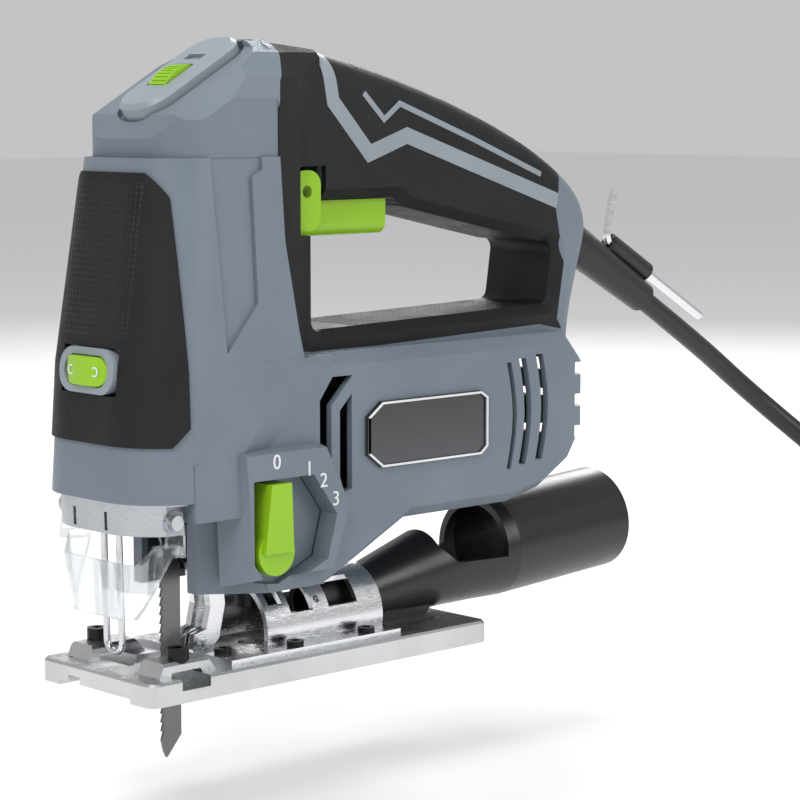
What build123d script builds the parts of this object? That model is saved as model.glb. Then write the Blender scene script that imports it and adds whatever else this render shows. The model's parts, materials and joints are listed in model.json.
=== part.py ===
from build123d import *

import math
import os

# Corded jigsaw, millimetres. The origin lies on the sole plane, on the centre line, on the
# solid strip behind the blade window. +X points to the rear, +Y to the tool's right, +Z up.

# ---------------------------------------------------------------- driving dimensions
PLATE_LENGTH = 150.0
PLATE_WIDTH = 60.0
PLATE_THICKNESS = 7.6
PLATE_FRONT_X = -60.0
PLATE_CORNER_R = 4.0
FLANGE_THICKNESS = 2.0
SADDLE_RADIUS = 17.0
SADDLE_WALL = 2.0
SADDLE_FRONT_X = -1.0
SADDLE_REAR_X = 51.0
TILT_AXIS_Z = 13.0

BODY_HALF_WIDTH = 30.5
FLANK_HALF_WIDTH = 33.0
CAP_HALF_WIDTH = 26.5
BODY_BOTTOM_Z = 31.0
BODY_REAR_X = 140.0
NOSE_BOTTOM_Z = 64.0
SHOULDER_X = -44.0
SHOULDER_BOTTOM_Z = 57.5
GUIDE_FRONT_X = -31.0
GUIDE_FRONT_HALF = 16.5
GUIDE_SLOT_HALF = 12.0
GUIDE_SLOT_REAR_X = -9.0
BODY_TOP_Z = 107.0
HOUSING_WALL = 2.5
HANDLE_HALF_WIDTH = 19.0
GRIP_THICKNESS = 2.2
JOINT_GAP = 0.3

MOTOR_AXIS_Z = 80.0
STATOR_RADIUS = 24.2
STATOR_LENGTH = 40.0
STATOR_FRONT_X = 42.0
ARMATURE_RADIUS = 14.5
SHAFT_RADIUS = 4.0
GEAR_MODULE = 1.0
PINION_TEETH = 10
GEAR_TEETH = 44
GEAR_WIDTH = 7.0
GEAR_FRONT_X = -8.0
CRANK_THROW = 10.0
PLUNGER_X = -29.0
ROCKER_PIVOT_X = -59.4
BUSH_SPANS = ((85.0, 89.6), (150.0, 158.0))
PLUNGER_RADIUS = 4.5
RUNNING_GAP = 0.05

BLADE_WIDTH = 8.0
BLADE_THICKNESS = 1.2
BLADE_TIP_Z = -26.0
BLADE_TOP_Z = 62.0
ROLLER_RADIUS = 5.0
ROLLER_AXIS_Z = 11.5

DIAL_SLOPE = 30.0
DIAL_WHEEL_RADIUS = 12.0
LEVER_PIVOT_X = -13.0
LEVER_PIVOT_Z = 45.0
TRIGGER_PIVOT_X = 15.5
TRIGGER_PIVOT_Z = 160.0

NOZZLE_BORE_RADIUS = 16.5
NOZZLE_OUTER_RADIUS = 19.0
NOZZLE_TILT = 3.7
NOZZLE_END_X = 176.0
NOZZLE_END_Z = 31.3

CORD_RADIUS = 4.0
RELIEF_ANGLE = -30.0
RELIEF_LENGTH = 62.0
RELIEF_START = (150.0, 144.5)
RELIEF_RADIUS = 7.2
TILT_SCREW_X = 4.5
BEZEL_Y = 36.0
POCKET_Y = 27.5
KEY_SIZE = 3.0
FLOOR_Z = -44.0


# ---------------------------------------------------------------- small helpers
def prism_y(points, y_low, y_high):
    """Solid of a side outline of (x, z) points, from y_low to y_high."""
    face = Plane.XZ.offset(-y_high) * make_face(Polyline(*points, close=True))
    return extrude(face, amount=y_high - y_low)


def prism_z(points, z_low, z_high):
    """Solid of a plan outline of (x, y) points, from z_low to z_high."""
    face = Plane.XY.offset(z_low) * make_face(Polyline(*points, close=True))
    return extrude(face, amount=z_high - z_low)


def prism_x(points, x_low, x_high):
    """Solid of a front outline of (y, z) points, from x_low to x_high."""
    face = Plane.YZ.offset(x_low) * make_face(Polyline(*points, close=True))
    return extrude(face, amount=x_high - x_low)


def block(x, y, z):
    """Box between two corners, each axis given as a (low, high) pair."""
    size = [high - low for low, high in (x, y, z)]
    centre = [(high + low) / 2 for low, high in (x, y, z)]
    return Pos(*centre) * Box(*size)


def rod(axis, centre, radius, low, high):
    """Cylinder along axis X, Y or Z; centre gives its two other coordinates in order."""
    length = high - low
    middle = (high + low) / 2
    first, second = centre
    if axis == "X":
        return Pos(middle, first, second) * Rot(0, 90, 0) * Cylinder(radius, length)
    if axis == "Y":
        return Pos(first, middle, second) * Rot(90, 0, 0) * Cylinder(radius, length)
    return Pos(first, second, middle) * Cylinder(radius, length)


def tube(axis, centre, outer, inner, low, high):
    return rod(axis, centre, outer, low, high) - rod(axis, centre, inner, low - 1, high + 1)


def mirrored(solid):
    return mirror(solid, about=Plane.XZ)


def both_sides(solid):
    return solid + mirrored(solid)


def rounded_plan(front_x, rear_x, half_width, front_r, rear_r, z):
    """Rounded-rectangle face at height z with different front and rear corner radii."""
    outline = Polyline(
        (front_x, -half_width), (rear_x, -half_width), (rear_x, half_width),
        (front_x, half_width), close=True,
    )
    face = make_face(outline)
    front = face.vertices().filter_by_position(Axis.X, front_x - 0.1, front_x + 0.1)
    face = fillet(front, front_r)
    rear = face.vertices().filter_by_position(Axis.X, rear_x - 0.1, rear_x + 0.1)
    face = fillet(rear, rear_r)
    return Plane.XY.offset(z) * face


def layers(sections):
    """Ruled solid through rounded plan sections (front_x, rear_x, half, front_r, rear_r, z)."""
    return loft([rounded_plan(*section) for section in sections], ruled=True)


def side_faces(solid):
    """Edges that bound the two flat faces square to Y."""
    edges = []
    for face in solid.faces().filter_by(Axis.Y):
        edges += face.edges()
    return edges


def unite(solids):
    whole = solids[0]
    for solid in solids[1:]:
        whole = whole + solid
    return whole


PARTS = {}


def keep(name, solid):
    PARTS[name] = solid


# ---------------------------------------------------------------- outer body shape
REAR_TRIM = [
    (-3.5, 145.0), (-3.5, 188.0), (-1.0, 196.0), (4.0, 204.0), (7.0, 213.0), (60.0, 213.0), (60.0, 107.0), (10.0, 107.0),
    (7.4, 108.0), (0.2, 116.0),
]


def nose_block(inset):
    """Upright front block that leans back as it rises, inset by a wall."""
    low_z = NOSE_BOTTOM_Z + inset
    rear_x = 12.0
    radius = 22.0 - inset
    half = FLANK_HALF_WIDTH - inset
    front_x = SHOULDER_X + inset
    plan = [
        (front_x, -half), (-21.0, -half), (-14.6, -half + 3.1), (-14.6, half - 3.1), (-21.0, half), (front_x, half),
    ]
    shoulder = prism_z(plan, SHOULDER_BOTTOM_Z + inset, low_z + 12.0)
    tower = layers([
        (-62.5 + inset, rear_x, FLANK_HALF_WIDTH - inset, radius, 3.0, low_z),
        (-59.2 + inset, rear_x, FLANK_HALF_WIDTH - inset, radius, 3.0, 106.0),
        (-50.0 + inset, rear_x, CAP_HALF_WIDTH + 1.0 - inset, radius - 3.0, 3.0, 172.0),
    ])
    rear = [
        (-24.3, 40.0), (-24.3, 77.9), (1.9, 106.5), (0.2, 116.0), (-3.5, 145.0), (-3.5, 215.0), (90.0, 215.0), (90.0, 40.0),
    ]
    return shoulder + (tower - prism_y(rear, -60.0, 60.0))


def arch(inset, x_low, x_high):
    """Round-shouldered cross-section shared by the cap and the neck of the handle."""
    half = CAP_HALF_WIDTH + 1.0 - inset
    top = 210.6 - inset
    profile = [(-half, 90.0), (-half, 188.0 - inset), (-half + 3.5, 198.0 - inset), (-half + 10.0, 205.5 - inset)]
    profile += [(-9.0, top - 0.8), (9.0, top - 0.8)]
    profile += [(half - 10.0, 205.5 - inset), (half - 3.5, 198.0 - inset), (half, 188.0 - inset), (half, 90.0)]
    return prism_x(profile, x_low, x_high)


def cap_block(inset):
    """Cap above the front pad, with its sloping dial face and chamfered rim."""
    slope = math.tan(math.radians(DIAL_SLOPE))
    front_x = -45.5 + inset
    top_x = 2.0
    low_top = 183.0 - inset * 1.2
    outline = [
        (front_x, 170.0), (front_x, low_top), (top_x, low_top + slope * (top_x - front_x)),
        (12.0, 208.5 - inset), (12.0, 170.0),
    ]
    wedge = prism_y(outline, -CAP_HALF_WIDTH + inset, CAP_HALF_WIDTH - inset)
    rim = [
        edge for edge in wedge.edges()
        if edge.center().Z > low_top - 1.0 and edge.center().X < 11.0
        and (abs(edge.center().Y) > 3.0 or edge.center().X < front_x + 1.0)
    ]
    wedge = chamfer(rim, 5.0 - inset * 0.6)
    plan = rounded_plan(front_x, 12.0, CAP_HALF_WIDTH - inset, 15.0 - inset, 3.0, 170.0)
    return (wedge & extrude(plan, amount=60.0) & arch(inset, -60.0, 20.0)) - prism_y(REAR_TRIM, -60.0, 60.0)


def neck(inset):
    """Flared front of the handle, from the width of the cap down to the grip."""
    plan = [(-3.5, 27.0), (2.0, 26.4), (8.0, 24.0), (14.0, 20.8), (21.0, 19.0), (24.0, 18.0), (-3.5, 18.0)]
    right = [(x, y - inset) for x, y in plan[:-2]] + [(21.0, 0.0), (-3.5, 0.0)]
    half = prism_z(right, 100.0, 215.0)
    return both_sides(half) & arch(inset, -10.0, 30.0) & extrude(
        Plane.XZ.offset(-60.0) * make_face(handle_outline(inset, -8.0)), amount=120.0)


def body_block(inset):
    """Motor body behind and below the nose, with chamfered long edges and a stepped foot."""
    bottom = BODY_BOTTOM_Z + inset
    front = -20.0 + inset
    rear = BODY_REAR_X - inset
    outline = [
        (front, bottom + 27.0), (front + 8.0, bottom), (19.0 - inset * 0.4, bottom), (53.0 - inset * 0.4, 48.0 + inset),
        (103.0, 48.0 + inset), (119.0 - inset * 0.5, 51.5 + inset), (132.0 - inset, 59.0 + inset * 0.5),
        (rear, 71.0), (rear, 98.0 - inset), (132.0 - inset, BODY_TOP_Z - inset), (front, BODY_TOP_Z - inset),
    ]
    half = BODY_HALF_WIDTH - inset
    solid = prism_y(outline, -half, half)
    edges = [
        edge for edge in side_faces(solid)
        if edge.center().X > 12.0 and abs(edge.center().Y) > half - 0.1
    ]
    return chamfer(edges, 5.5, 4.0)


def guide_block(inset):
    """Wedge-shaped lower housing behind the blade, down to the saddle."""
    half = BODY_HALF_WIDTH - inset
    front = GUIDE_FRONT_X + inset
    front_half = GUIDE_FRONT_HALF - inset
    plan = [
        (front, -front_half), (-12.0, -half), (12.0, -half), (12.0, half), (-12.0, half), (front, front_half),
    ]
    return prism_z(plan, BODY_BOTTOM_Z + inset, 70.0)


def flank_pad(side):
    """Slope between the wide front flank and the motor body behind it."""
    base = [(-30.0, 68.0), (-16.5, 69.0), (18.4, 101.9), (17.0, 106.9), (-30.0, 106.9)]
    top = [(-30.0, 77.9), (-24.3, 77.9), (1.4, 106.0), (1.4, 106.9), (-30.0, 106.9)]
    low_face = Plane.XZ.offset(BODY_HALF_WIDTH - 1.0) * make_face(Polyline(*base, close=True))
    high_face = Plane.XZ.offset(FLANK_HALF_WIDTH) * make_face(Polyline(*top, close=True))
    pad = loft([low_face, high_face], ruled=True)
    return pad if side < 0 else mirrored(pad)


HANDLE_BACK = [
    (2.0, 208.8), (24.0, 206.0), (46.0, 201.2), (68.0, 195.2), (90.0, 188.2), (110.0, 180.6), (127.0, 172.8),
    (141.0, 164.5), (151.0, 155.5), (155.0, 146.0), (152.5, 132.0), (148.0, 116.0), (146.0, 100.0),
]


def inset_curve(points, inset):
    """Points of an outline that runs clockwise, moved inwards by inset."""
    moved = []
    for index, (x, z) in enumerate(points):
        ahead = points[min(index + 1, len(points) - 1)]
        behind = points[max(index - 1, 0)]
        run = math.hypot(ahead[0] - behind[0], ahead[1] - behind[1])
        moved.append((x + inset * (ahead[1] - behind[1]) / run, z - inset * (ahead[0] - behind[0]) / run))
    return moved


def handle_outline(inset, front_x=None):
    """Outer handle outline: arched back, round rear, straight foot."""
    back = inset_curve(HANDLE_BACK, inset)
    front_low = (back[0][0], back[-1][1])
    if front_x is not None:
        return Spline(*back) + Polyline(back[-1], (front_x, back[-1][1]), (front_x, back[0][1] + 1.0), back[0])
    return Spline(*back) + Polyline(back[-1], front_low, back[0])


def opening_points(inset):
    """Corners of the hand opening, front bottom first."""
    return [
        (15.5 - inset, 113.5 - inset), (15.5 - inset, 157.0 + inset), (58.0, 157.0 + inset),
        (62.0, 153.5 + inset), (130.0, 139.0 + inset), (136.5 + inset, 139.5), (133.0 + inset, 116.5 - inset),
    ]


def handle_solid(inset, half=HANDLE_HALF_WIDTH):
    """D-shaped handle loop, all its long edges rounded."""
    outer = Plane.XZ.offset(-(half - inset)) * make_face(handle_outline(inset))
    loop = extrude(outer, amount=2 * (half - inset))
    back = [edge for edge in side_faces(loop) if edge.center().X > 3.0 and edge.center().Z > 101.0]
    loop = fillet(back, 9.5 - inset)
    hole_face = make_face(Polyline(*opening_points(inset), close=True))
    hole_face = fillet(hole_face.vertices(), 4.0)
    hole = extrude(Plane.XZ.offset(-60.0) * hole_face, amount=120.0)
    loop = loop - hole
    rim = [edge for edge in loop.edges() if on_opening(edge, half - inset)]
    return chamfer(rim, 3.5 - inset * 0.7) + (neck(inset) - hole)


def on_opening(edge, half):
    """True for an edge of the hand opening on one of the two side faces."""
    spot = edge.center()
    flat = abs(abs(spot.Y) - half) < 0.01
    return flat and 10.0 < spot.X < 140.0 and 108.0 < spot.Z < 162.0 and edge.bounding_box().size.X < 90.0


def body_outside(inset):
    """Front, cap, motor body and guide housing as one outer shape."""
    whole = nose_block(inset) + cap_block(inset) + body_block(inset) + guide_block(inset)
    return whole + both_sides(flank_pad(-1))


GRIP_EDGE = REAR_TRIM[:5] + [
    (7.0, 215.0), (141.0, 215.0), (141.0, 166.0), (136.5, 160.0), (134.5, 151.0), (139.0, 131.0), (135.5, 111.0),
    (138.0, 107.0), (126.0, 109.4), (48.0, 107.0), (16.0, 107.0), (7.4, 108.0), (0.2, 116.0),
]
PAD_EDGE = [(-75.0, 82.0), (-51.0, 82.0), (-45.5, 88.0), (-46.0, 160.0), (-50.0, 167.5), (-75.0, 167.5)]


def pad_shell(outset, depth):
    """Skin round the front of the nose, standing proud by outset and sunk by depth."""
    return (nose_block(-outset) - nose_block(depth)) & prism_y(PAD_EDGE, -40.0, 40.0)


# ---------------------------------------------------------------- housing details
def slot_cut(points, side=-1, depth=8.0):
    """Through cut in one side wall from a side outline."""
    y_low = -BODY_HALF_WIDTH - 6.0
    return prism_y(points, y_low, y_low + depth + 3.0)


def vent_cuts():
    """Arrow-shaped intake slots and curved exhaust slots in one side wall."""
    front = [(10.4, 92.0), (16.0, 99.5), (25.0, 99.5), (15.5, 90.0), (15.5, 70.0), (10.4, 76.0)]
    second = [(19.2, 88.0), (24.6, 93.5), (24.6, 61.5), (21.0, 60.5), (19.2, 66.0)]
    cuts = [front, second]
    for x, low, width in ((98.0, 60.5, 2.2), (104.0, 61.5, 3.6), (112.5, 62.5, 3.6)):
        bow = [(x + 3.0 * math.sin(math.pi * k / 6), low + 6.3 * k) for k in range(7)]
        cuts.append(bow + [(bx + width, bz) for bx, bz in reversed(bow)])
    return unite([slot_cut(points) for points in cuts])


def flank_recess():
    """Sunk panel high on the side of the nose."""
    outline = [(-32.6, 174.2), (-10.5, 186.5), (-11.3, 167.9), (-15.7, 165.9), (-16.3, 125.6), (-30.2, 110.3)]
    outer = Plane.XZ.offset(38.0) * make_face(Polyline(*outline, close=True))
    return extrude(outer, amount=-12.0)


def lever_bezel():
    """Raised frame round the lever pocket, with sloping outside faces."""
    base = [(-29.0, 66.0), (-28.0, 79.5), (10.0, 79.5), (21.0, 57.5), (13.5, 34.0), (-27.5, 34.0)]
    top = [(-24.5, 67.0), (-25.5, 77.5), (8.5, 77.5), (18.5, 57.5), (11.5, 37.0), (-22.5, 37.0)]
    low_face = Plane.XZ.offset(BODY_HALF_WIDTH - 6.0) * make_face(Polyline(*base, close=True))
    high_face = Plane.XZ.offset(BEZEL_Y) * make_face(Polyline(*top, close=True))
    return loft([low_face, high_face], ruled=True)


def lever_pocket(margin=0.0):
    outline = [(-22.5, 42.0), (-22.5, 69.0), (3.0, 69.0), (13.0, 55.0), (9.0, 40.5), (-8.0, 33.5), (-17.0, 34.5)]
    return prism_y(outline, -45.0, -POCKET_Y)


def dial_plane(rise=0.0):
    """Plane of the sloping dial face, raised along its normal."""
    tilt = math.radians(DIAL_SLOPE)
    along = (math.cos(tilt), 0.0, math.sin(tilt))
    normal = (-math.sin(tilt), 0.0, math.cos(tilt))
    middle = (-22.0, 0.0, 183.0 + math.tan(tilt) * (-22.0 + 45.5))
    origin = tuple(m + n * rise for m, n in zip(middle, normal))
    return Plane(origin=origin, x_dir=along, z_dir=normal)


def dial_pad(length, width, low, high):
    """Round-ended pad on the dial face."""
    face = RectangleRounded(length, width, min(length, width) * 0.42)
    return extrude(dial_plane(low) * face, amount=high - low)


def relief_plane(along=0.0, rise=0.0):
    """Plane square to the strain relief's axis, at a distance along it."""
    tilt = math.radians(RELIEF_ANGLE)
    axis = (math.cos(tilt), 0.0, math.sin(tilt))
    up = (-math.sin(tilt), 0.0, math.cos(tilt))
    origin = (RELIEF_START[0] + axis[0] * along + up[0] * rise, 0.0, RELIEF_START[1] + axis[2] * along + up[2] * rise)
    return Plane(origin=origin, x_dir=(0.0, 1.0, 0.0), z_dir=axis)


def axial(radius, start, length, rise=0.0, end_radius=None):
    """Cylinder or cone along the strain relief's axis."""
    face = relief_plane(start, rise) * Circle(radius)
    if end_radius is None:
        return extrude(face, amount=length)
    return loft([face, relief_plane(start + length, rise) * Circle(end_radius)], ruled=True)


def housing_cavity():
    """Hollow inside the two shells."""
    hollow = nose_block(HOUSING_WALL) + body_block(HOUSING_WALL) + cap_block(HOUSING_WALL + 2.0)
    loop = handle_solid(GRIP_THICKNESS + HOUSING_WALL) & block((-6.0, 142.0), (-40.0, 40.0), (104.0, 210.0))
    link = block((-12.0, 3.0), (-22.0, 22.0), (112.0, 199.0)) & prism_y(
        [(-14.0, 100.0), (-14.0, 192.0), (3.0, 200.0), (3.0, 100.0)], -40.0, 40.0)
    drive_room = block((-20.0, 9.0), (-20.0, 20.0), (84.0, 158.0)) + block((-16.0, 12.0), (-24.0, 24.0), (84.0, 104.5))
    return hollow + loop + link + drive_room + guide_block(HOUSING_WALL)


def inner_ribs():
    """Walls and bosses inside the shells that carry the motor, the trigger and the screws."""
    ribs = block((46.0, 50.0), (-28.5, 28.5), (49.0, 106.0)) + block((74.0, 78.0), (-28.5, 28.5), (49.0, 106.0))
    ribs = ribs - rod("X", (0.0, MOTOR_AXIS_Z), STATOR_RADIUS, 40.0, 90.0)
    ribs = ribs + block((TRIGGER_PIVOT_X - 3.5, TRIGGER_PIVOT_X + 3.5), (-3.0, 3.0), (155.5, 204.0))
    pocket_floor = lever_pocket() & block((-100.0, 100.0), (-45.0, -POCKET_Y), (0.0, 200.0))
    ribs = ribs + mirrored(mirrored(pocket_floor).moved(Location((0.0, -3.0, 0.0))) & block((-90, 90), (24.5, POCKET_Y), (0, 200)))
    seat = block((1.0, 49.0), (-12.0, 12.0), (24.0, 34.0)) - rod("X", (0.0, TILT_AXIS_Z), SADDLE_RADIUS + JOINT_GAP, -9.0, 60.0)
    ribs = ribs + seat + block((-1.0, 10.0), (-8.0, 8.0), (31.0, 45.0))
    for x, z in screw_spots():
        ribs = ribs + rod("Y", (x, z), 4.2, -24.0, 24.0)
    return ribs


def screw_holes():
    """Stepped screw holes, the head side open to the right."""
    holes = [rod("Y", (x, z), 3.3, 10.0, 60.0) + rod("Y", (x, z), 1.5, -12.0, 12.0) for x, z in screw_spots()]
    return unite(holes)


def build_housing():
    """Two shells of the housing with every opening that the moving pieces need."""
    core = handle_solid(GRIP_THICKNESS)
    loop = handle_solid(0.0)
    region = prism_y(GRIP_EDGE, -60.0, 60.0)
    body = body_outside(0.0)
    grip = ((loop - core) & region) - body
    shell = body + core + (loop - region) + lever_bezel()
    shell = (shell - housing_cavity()) + (inner_ribs() & (core + body))
    shell = shell - pad_shell(2.0, 1.2)
    shell = shell - block((-75.0, -57.0), (-14.5, 14.5), (97.5, 112.5))
    shell = shell - lever_pocket()
    shell = shell - vent_cuts() - mirrored(vent_cuts())
    recess = flank_recess() & (nose_block(0.0) - nose_block(1.3)) & block((-80, 80), (-50.0, -20.0), (0, 250))
    shell = shell - recess - mirrored(recess)
    shell = shell - saddle_room() - guide_slot() - trigger_room() - dial_room()
    shell = shell - axial(RELIEF_RADIUS, -8.0, 60.0) - axial(9.5, -6.0, 5.0) - axial(5.5, -30.0, 25.0)
    shell = shell - fin_gaps() - pocket_shaft_hole() - screw_holes() - clamp_room()
    shell = shell + (inner_ribs() & trigger_lug())
    shell = shell - rod("Y", (TRIGGER_PIVOT_X, TRIGGER_PIVOT_Z), 2.0, -30.0, 30.0)
    grip = grip - trigger_room() - screw_holes() - axial(RELIEF_RADIUS, -8.0, 60.0)
    right = block((-100, 200), (0, 60), (0, 250))
    left = mirrored(right)
    keep("housing_left", biggest(shell & left))
    keep("housing_right", biggest(shell & right))
    keep("grip_overmould_left", biggest(grip & left))
    keep("grip_overmould_right", biggest(grip & right))


def trigger_lug():
    return block((TRIGGER_PIVOT_X - 3.5, TRIGGER_PIVOT_X + 3.5), (-3.0, 3.0), (155.5, 204.0))


def clamp_room():
    """Threaded hole for the saddle clamp screw and the bore of the plunger's way out."""
    return rod("Z", (TILT_SCREW_X, 0.0), 2.5, 20.0, 42.0)


def biggest(shape):
    solids = sorted(shape.solids(), key=lambda solid: solid.volume)
    return solids[-1]


def saddle_room():
    """Half-round seat under the housing for the tilting saddle."""
    seat = rod("X", (0.0, TILT_AXIS_Z), SADDLE_RADIUS + 0.6, SADDLE_FRONT_X - 2.0, SADDLE_REAR_X + 4.0)
    return seat


def guide_slot():
    """Open slot for the blade clamp, roller guide and plunger at the front."""
    slot = block((-60.0, GUIDE_SLOT_REAR_X), (-GUIDE_SLOT_HALF, GUIDE_SLOT_HALF), (20.0, 74.0))
    mouth = block((-56.0, -30.0), (-24.0, 24.0), (60.0, 67.5))
    return slot + mouth


def trigger_room():
    """Pocket for the trigger through the handle's front underside."""
    low = block((8.2, 57.5), (-13.6, 13.6), (143.9, 164.0))
    upstand = block((8.2, 23.6), (-30.0, 30.0), (145.5, 168.4))
    return low + upstand


def dial_room():
    """Groove round the dial bezel and the well of its wheel."""
    groove = dial_pad(49.0, 25.5, -2.4, 6.0)
    well = block((-37.0, -6.0), (-6.5, 6.5), (165.0, 203.0))
    return groove + well


def fin_gaps():
    """Gaps between the cooling fins at the rear of the motor body."""
    gaps = [block((133.0, 150.0), (-40.0, 40.0), (low, low + 4.5)) for low in (68.5, 80.0, 91.5)]
    return unite(gaps)


def pocket_shaft_hole():
    return rod("Y", (LEVER_PIVOT_X, LEVER_PIVOT_Z), 4.0 + 0.3, -40.0, -15.0)



# ---------------------------------------------------------------- outside pieces of the front and handle
def build_front_pieces():
    """Front grip pad, rocker and its surround, dial bezel and wheel, label plates, nose collar."""
    rocker_room = block((-75.0, -50.0), (-14.5, 14.5), (97.5, 112.5))
    pad = pad_shell(1.0, 1.2) - rocker_room
    keep("front_grip_pad", biggest(pad & prism_y([(x, z) for x, z in inset_curve(PAD_EDGE, 0.0)], -39.7, 39.7)))

    front_x = -62.0
    ring = fillet(block((front_x, -57.0), (-14.2, 14.2), (97.8, 112.2)).edges().filter_by(Axis.X), 6.5)
    ring = ring - fillet(block((-70.0, -50.0), (-11.4, 11.4), (100.0, 110.0)).edges().filter_by(Axis.X), 4.9)
    keep("rocker_surround", (ring & nose_block(-2.4)) - rod("Z", (ROCKER_PIVOT_X, 0.0), 0.85, 99.3, 110.7))
    rocker = fillet(block((-63.5, -58.4), (-10.8, 10.8), (100.4, 109.6)).edges().filter_by(Axis.X), 4.5)
    dish = rod("Z", (-63.5 + 24.0, 0.0), 24.0, 90.0, 120.0)
    pivot = rod("Z", (ROCKER_PIVOT_X, 0.0), 0.8, 99.6, 110.4)
    keep("lamp_rocker", (rocker & dish) + pivot)

    wheel_plane = dial_plane()
    bezel = dial_pad(46.0, 22.0, -2.4, 3.6)
    bezel = chamfer(bezel.edges().group_by(Axis((0, 0, 0), wheel_plane.z_dir))[-1], 1.4)
    slot = extrude(dial_plane(-20.0) * Pos(-3.0, 0.0) * Rectangle(14.0, 9.6), amount=40.0)
    number_slot = extrude(dial_plane(2.4) * Pos(8.6, 0.0) * Rectangle(3.4, 8.6), amount=10.0)
    keep("dial_bezel", biggest(bezel - slot - number_slot - dial_wheel_solid(JOINT_GAP, 5.0)))
    keep("speed_dial_wheel", dial_wheel_solid(0.0, 4.3))

    plate_points = [
        (30.5, 72.0), (30.5, 85.0), (37.0, 89.8), (84.0, 89.8), (87.5, 87.5), (87.5, 70.0), (84.0, 67.2), (37.0, 67.2),
    ]
    plate = prism_y(plate_points, -BODY_HALF_WIDTH - 0.8, -BODY_HALF_WIDTH)
    keep("label_plates", Compound(children=[plate, mirrored(plate)]))

    collar = layers([
        (-60.5, -10.0, 29.0, 20.0, 2.0, 53.5), (-60.8, -10.0, 29.5, 20.5, 2.0, NOSE_BOTTOM_Z),
    ]) & block((-70.0, SHOULDER_X), (-40.0, 40.0), (50.0, 70.0))
    hollow = layers([
        (-57.5, -5.0, 25.0, 17.0, 2.0, 50.0), (-57.5, -5.0, 25.0, 17.0, 2.0, 70.0),
    ])
    ear_notch = both_sides(block((-55.0, SHOULDER_X + 1.0), (26.6, 35.0), (50.0, 63.0)))
    ear_notch = ear_notch + rod("Y", GUARD_PIVOT, 1.5, -30.0, 30.0)
    slits = both_sides(block((-64.0, -56.0), (7.5, 9.0), (54.5, 60.5)))
    ring = collar - hollow - ear_notch - slits
    keep("nose_collar", ring)


def dial_wheel_solid(margin, half_width):
    """Disc of the speed dial, its rim just above the bezel."""
    plane = dial_plane(3.6 + 1.6 - DIAL_WHEEL_RADIUS)
    centre = plane.origin - plane.x_dir * 3.0
    return rod("Y", (centre.X, centre.Z), DIAL_WHEEL_RADIUS + margin, -half_width, half_width)


def build_trigger():
    """L-shaped trigger: bar under the handle and an upstand beside its front."""
    bar = fillet(block((13.0, 56.0), (-13.0, 13.0), (144.5, 156.6)).edges().filter_by(Axis.X).group_by(Axis.Z)[0], 4.5)
    stop = fillet(block((9.5, 21.5), (-18.8, 18.8), (147.0, 167.0)).edges().filter_by(Axis.Y), 5.0)
    axle = rod("Y", (TRIGGER_PIVOT_X, TRIGGER_PIVOT_Z), 2.0 + RUNNING_GAP, -30.0, 30.0)
    lug = block((8.0, 23.0), (-3.4, 3.4), (152.5, 170.0))
    keep("trigger", bar + stop - axle - lug)
    keep("trigger_pin", rod("Y", (TRIGGER_PIVOT_X, TRIGGER_PIVOT_Z), 2.0, -16.0, 16.0))
    lugs = block((40.0, 46.0), (-14.3, 14.3), (176.0, 182.0))
    plunger = block((40.0, 46.0), (-4.0, 4.0), (166.5, 172.5))
    keep("trigger_switch", block((31.0, 58.0), (-8.0, 8.0), (172.5, 186.0)) + lugs + plunger)


def build_lever():
    """Orbital selector: long lever on a round hub, with its cam shaft going inside."""
    hub = rod("Y", (LEVER_PIVOT_X, LEVER_PIVOT_Z), 7.5, -36.0, -POCKET_Y - JOINT_GAP)
    tip = (LEVER_PIVOT_X + 1.0, LEVER_PIVOT_Z + 22.5)
    arm_points = [
        (LEVER_PIVOT_X - 6.0, LEVER_PIVOT_Z), (tip[0] - 4.2, tip[1]), (tip[0] + 4.2, tip[1]), (LEVER_PIVOT_X + 6.0, LEVER_PIVOT_Z),
    ]
    arm = prism_y(arm_points, -37.5, -29.0)
    shaft = rod("Y", (LEVER_PIVOT_X, LEVER_PIVOT_Z), 3.9, -POCKET_Y - 2.0, -15.0)
    keep("orbital_lever", hub + arm)
    cam = shaft - rod("Y", (LEVER_PIVOT_X, LEVER_PIVOT_Z), 5.0, -40.0, -POCKET_Y - JOINT_GAP)
    nub = rod("Y", (LEVER_PIVOT_X, LEVER_PIVOT_Z), 2.4, -16.0, -12.6)
    keep("orbital_cam_shaft", cam + nub)


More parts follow.
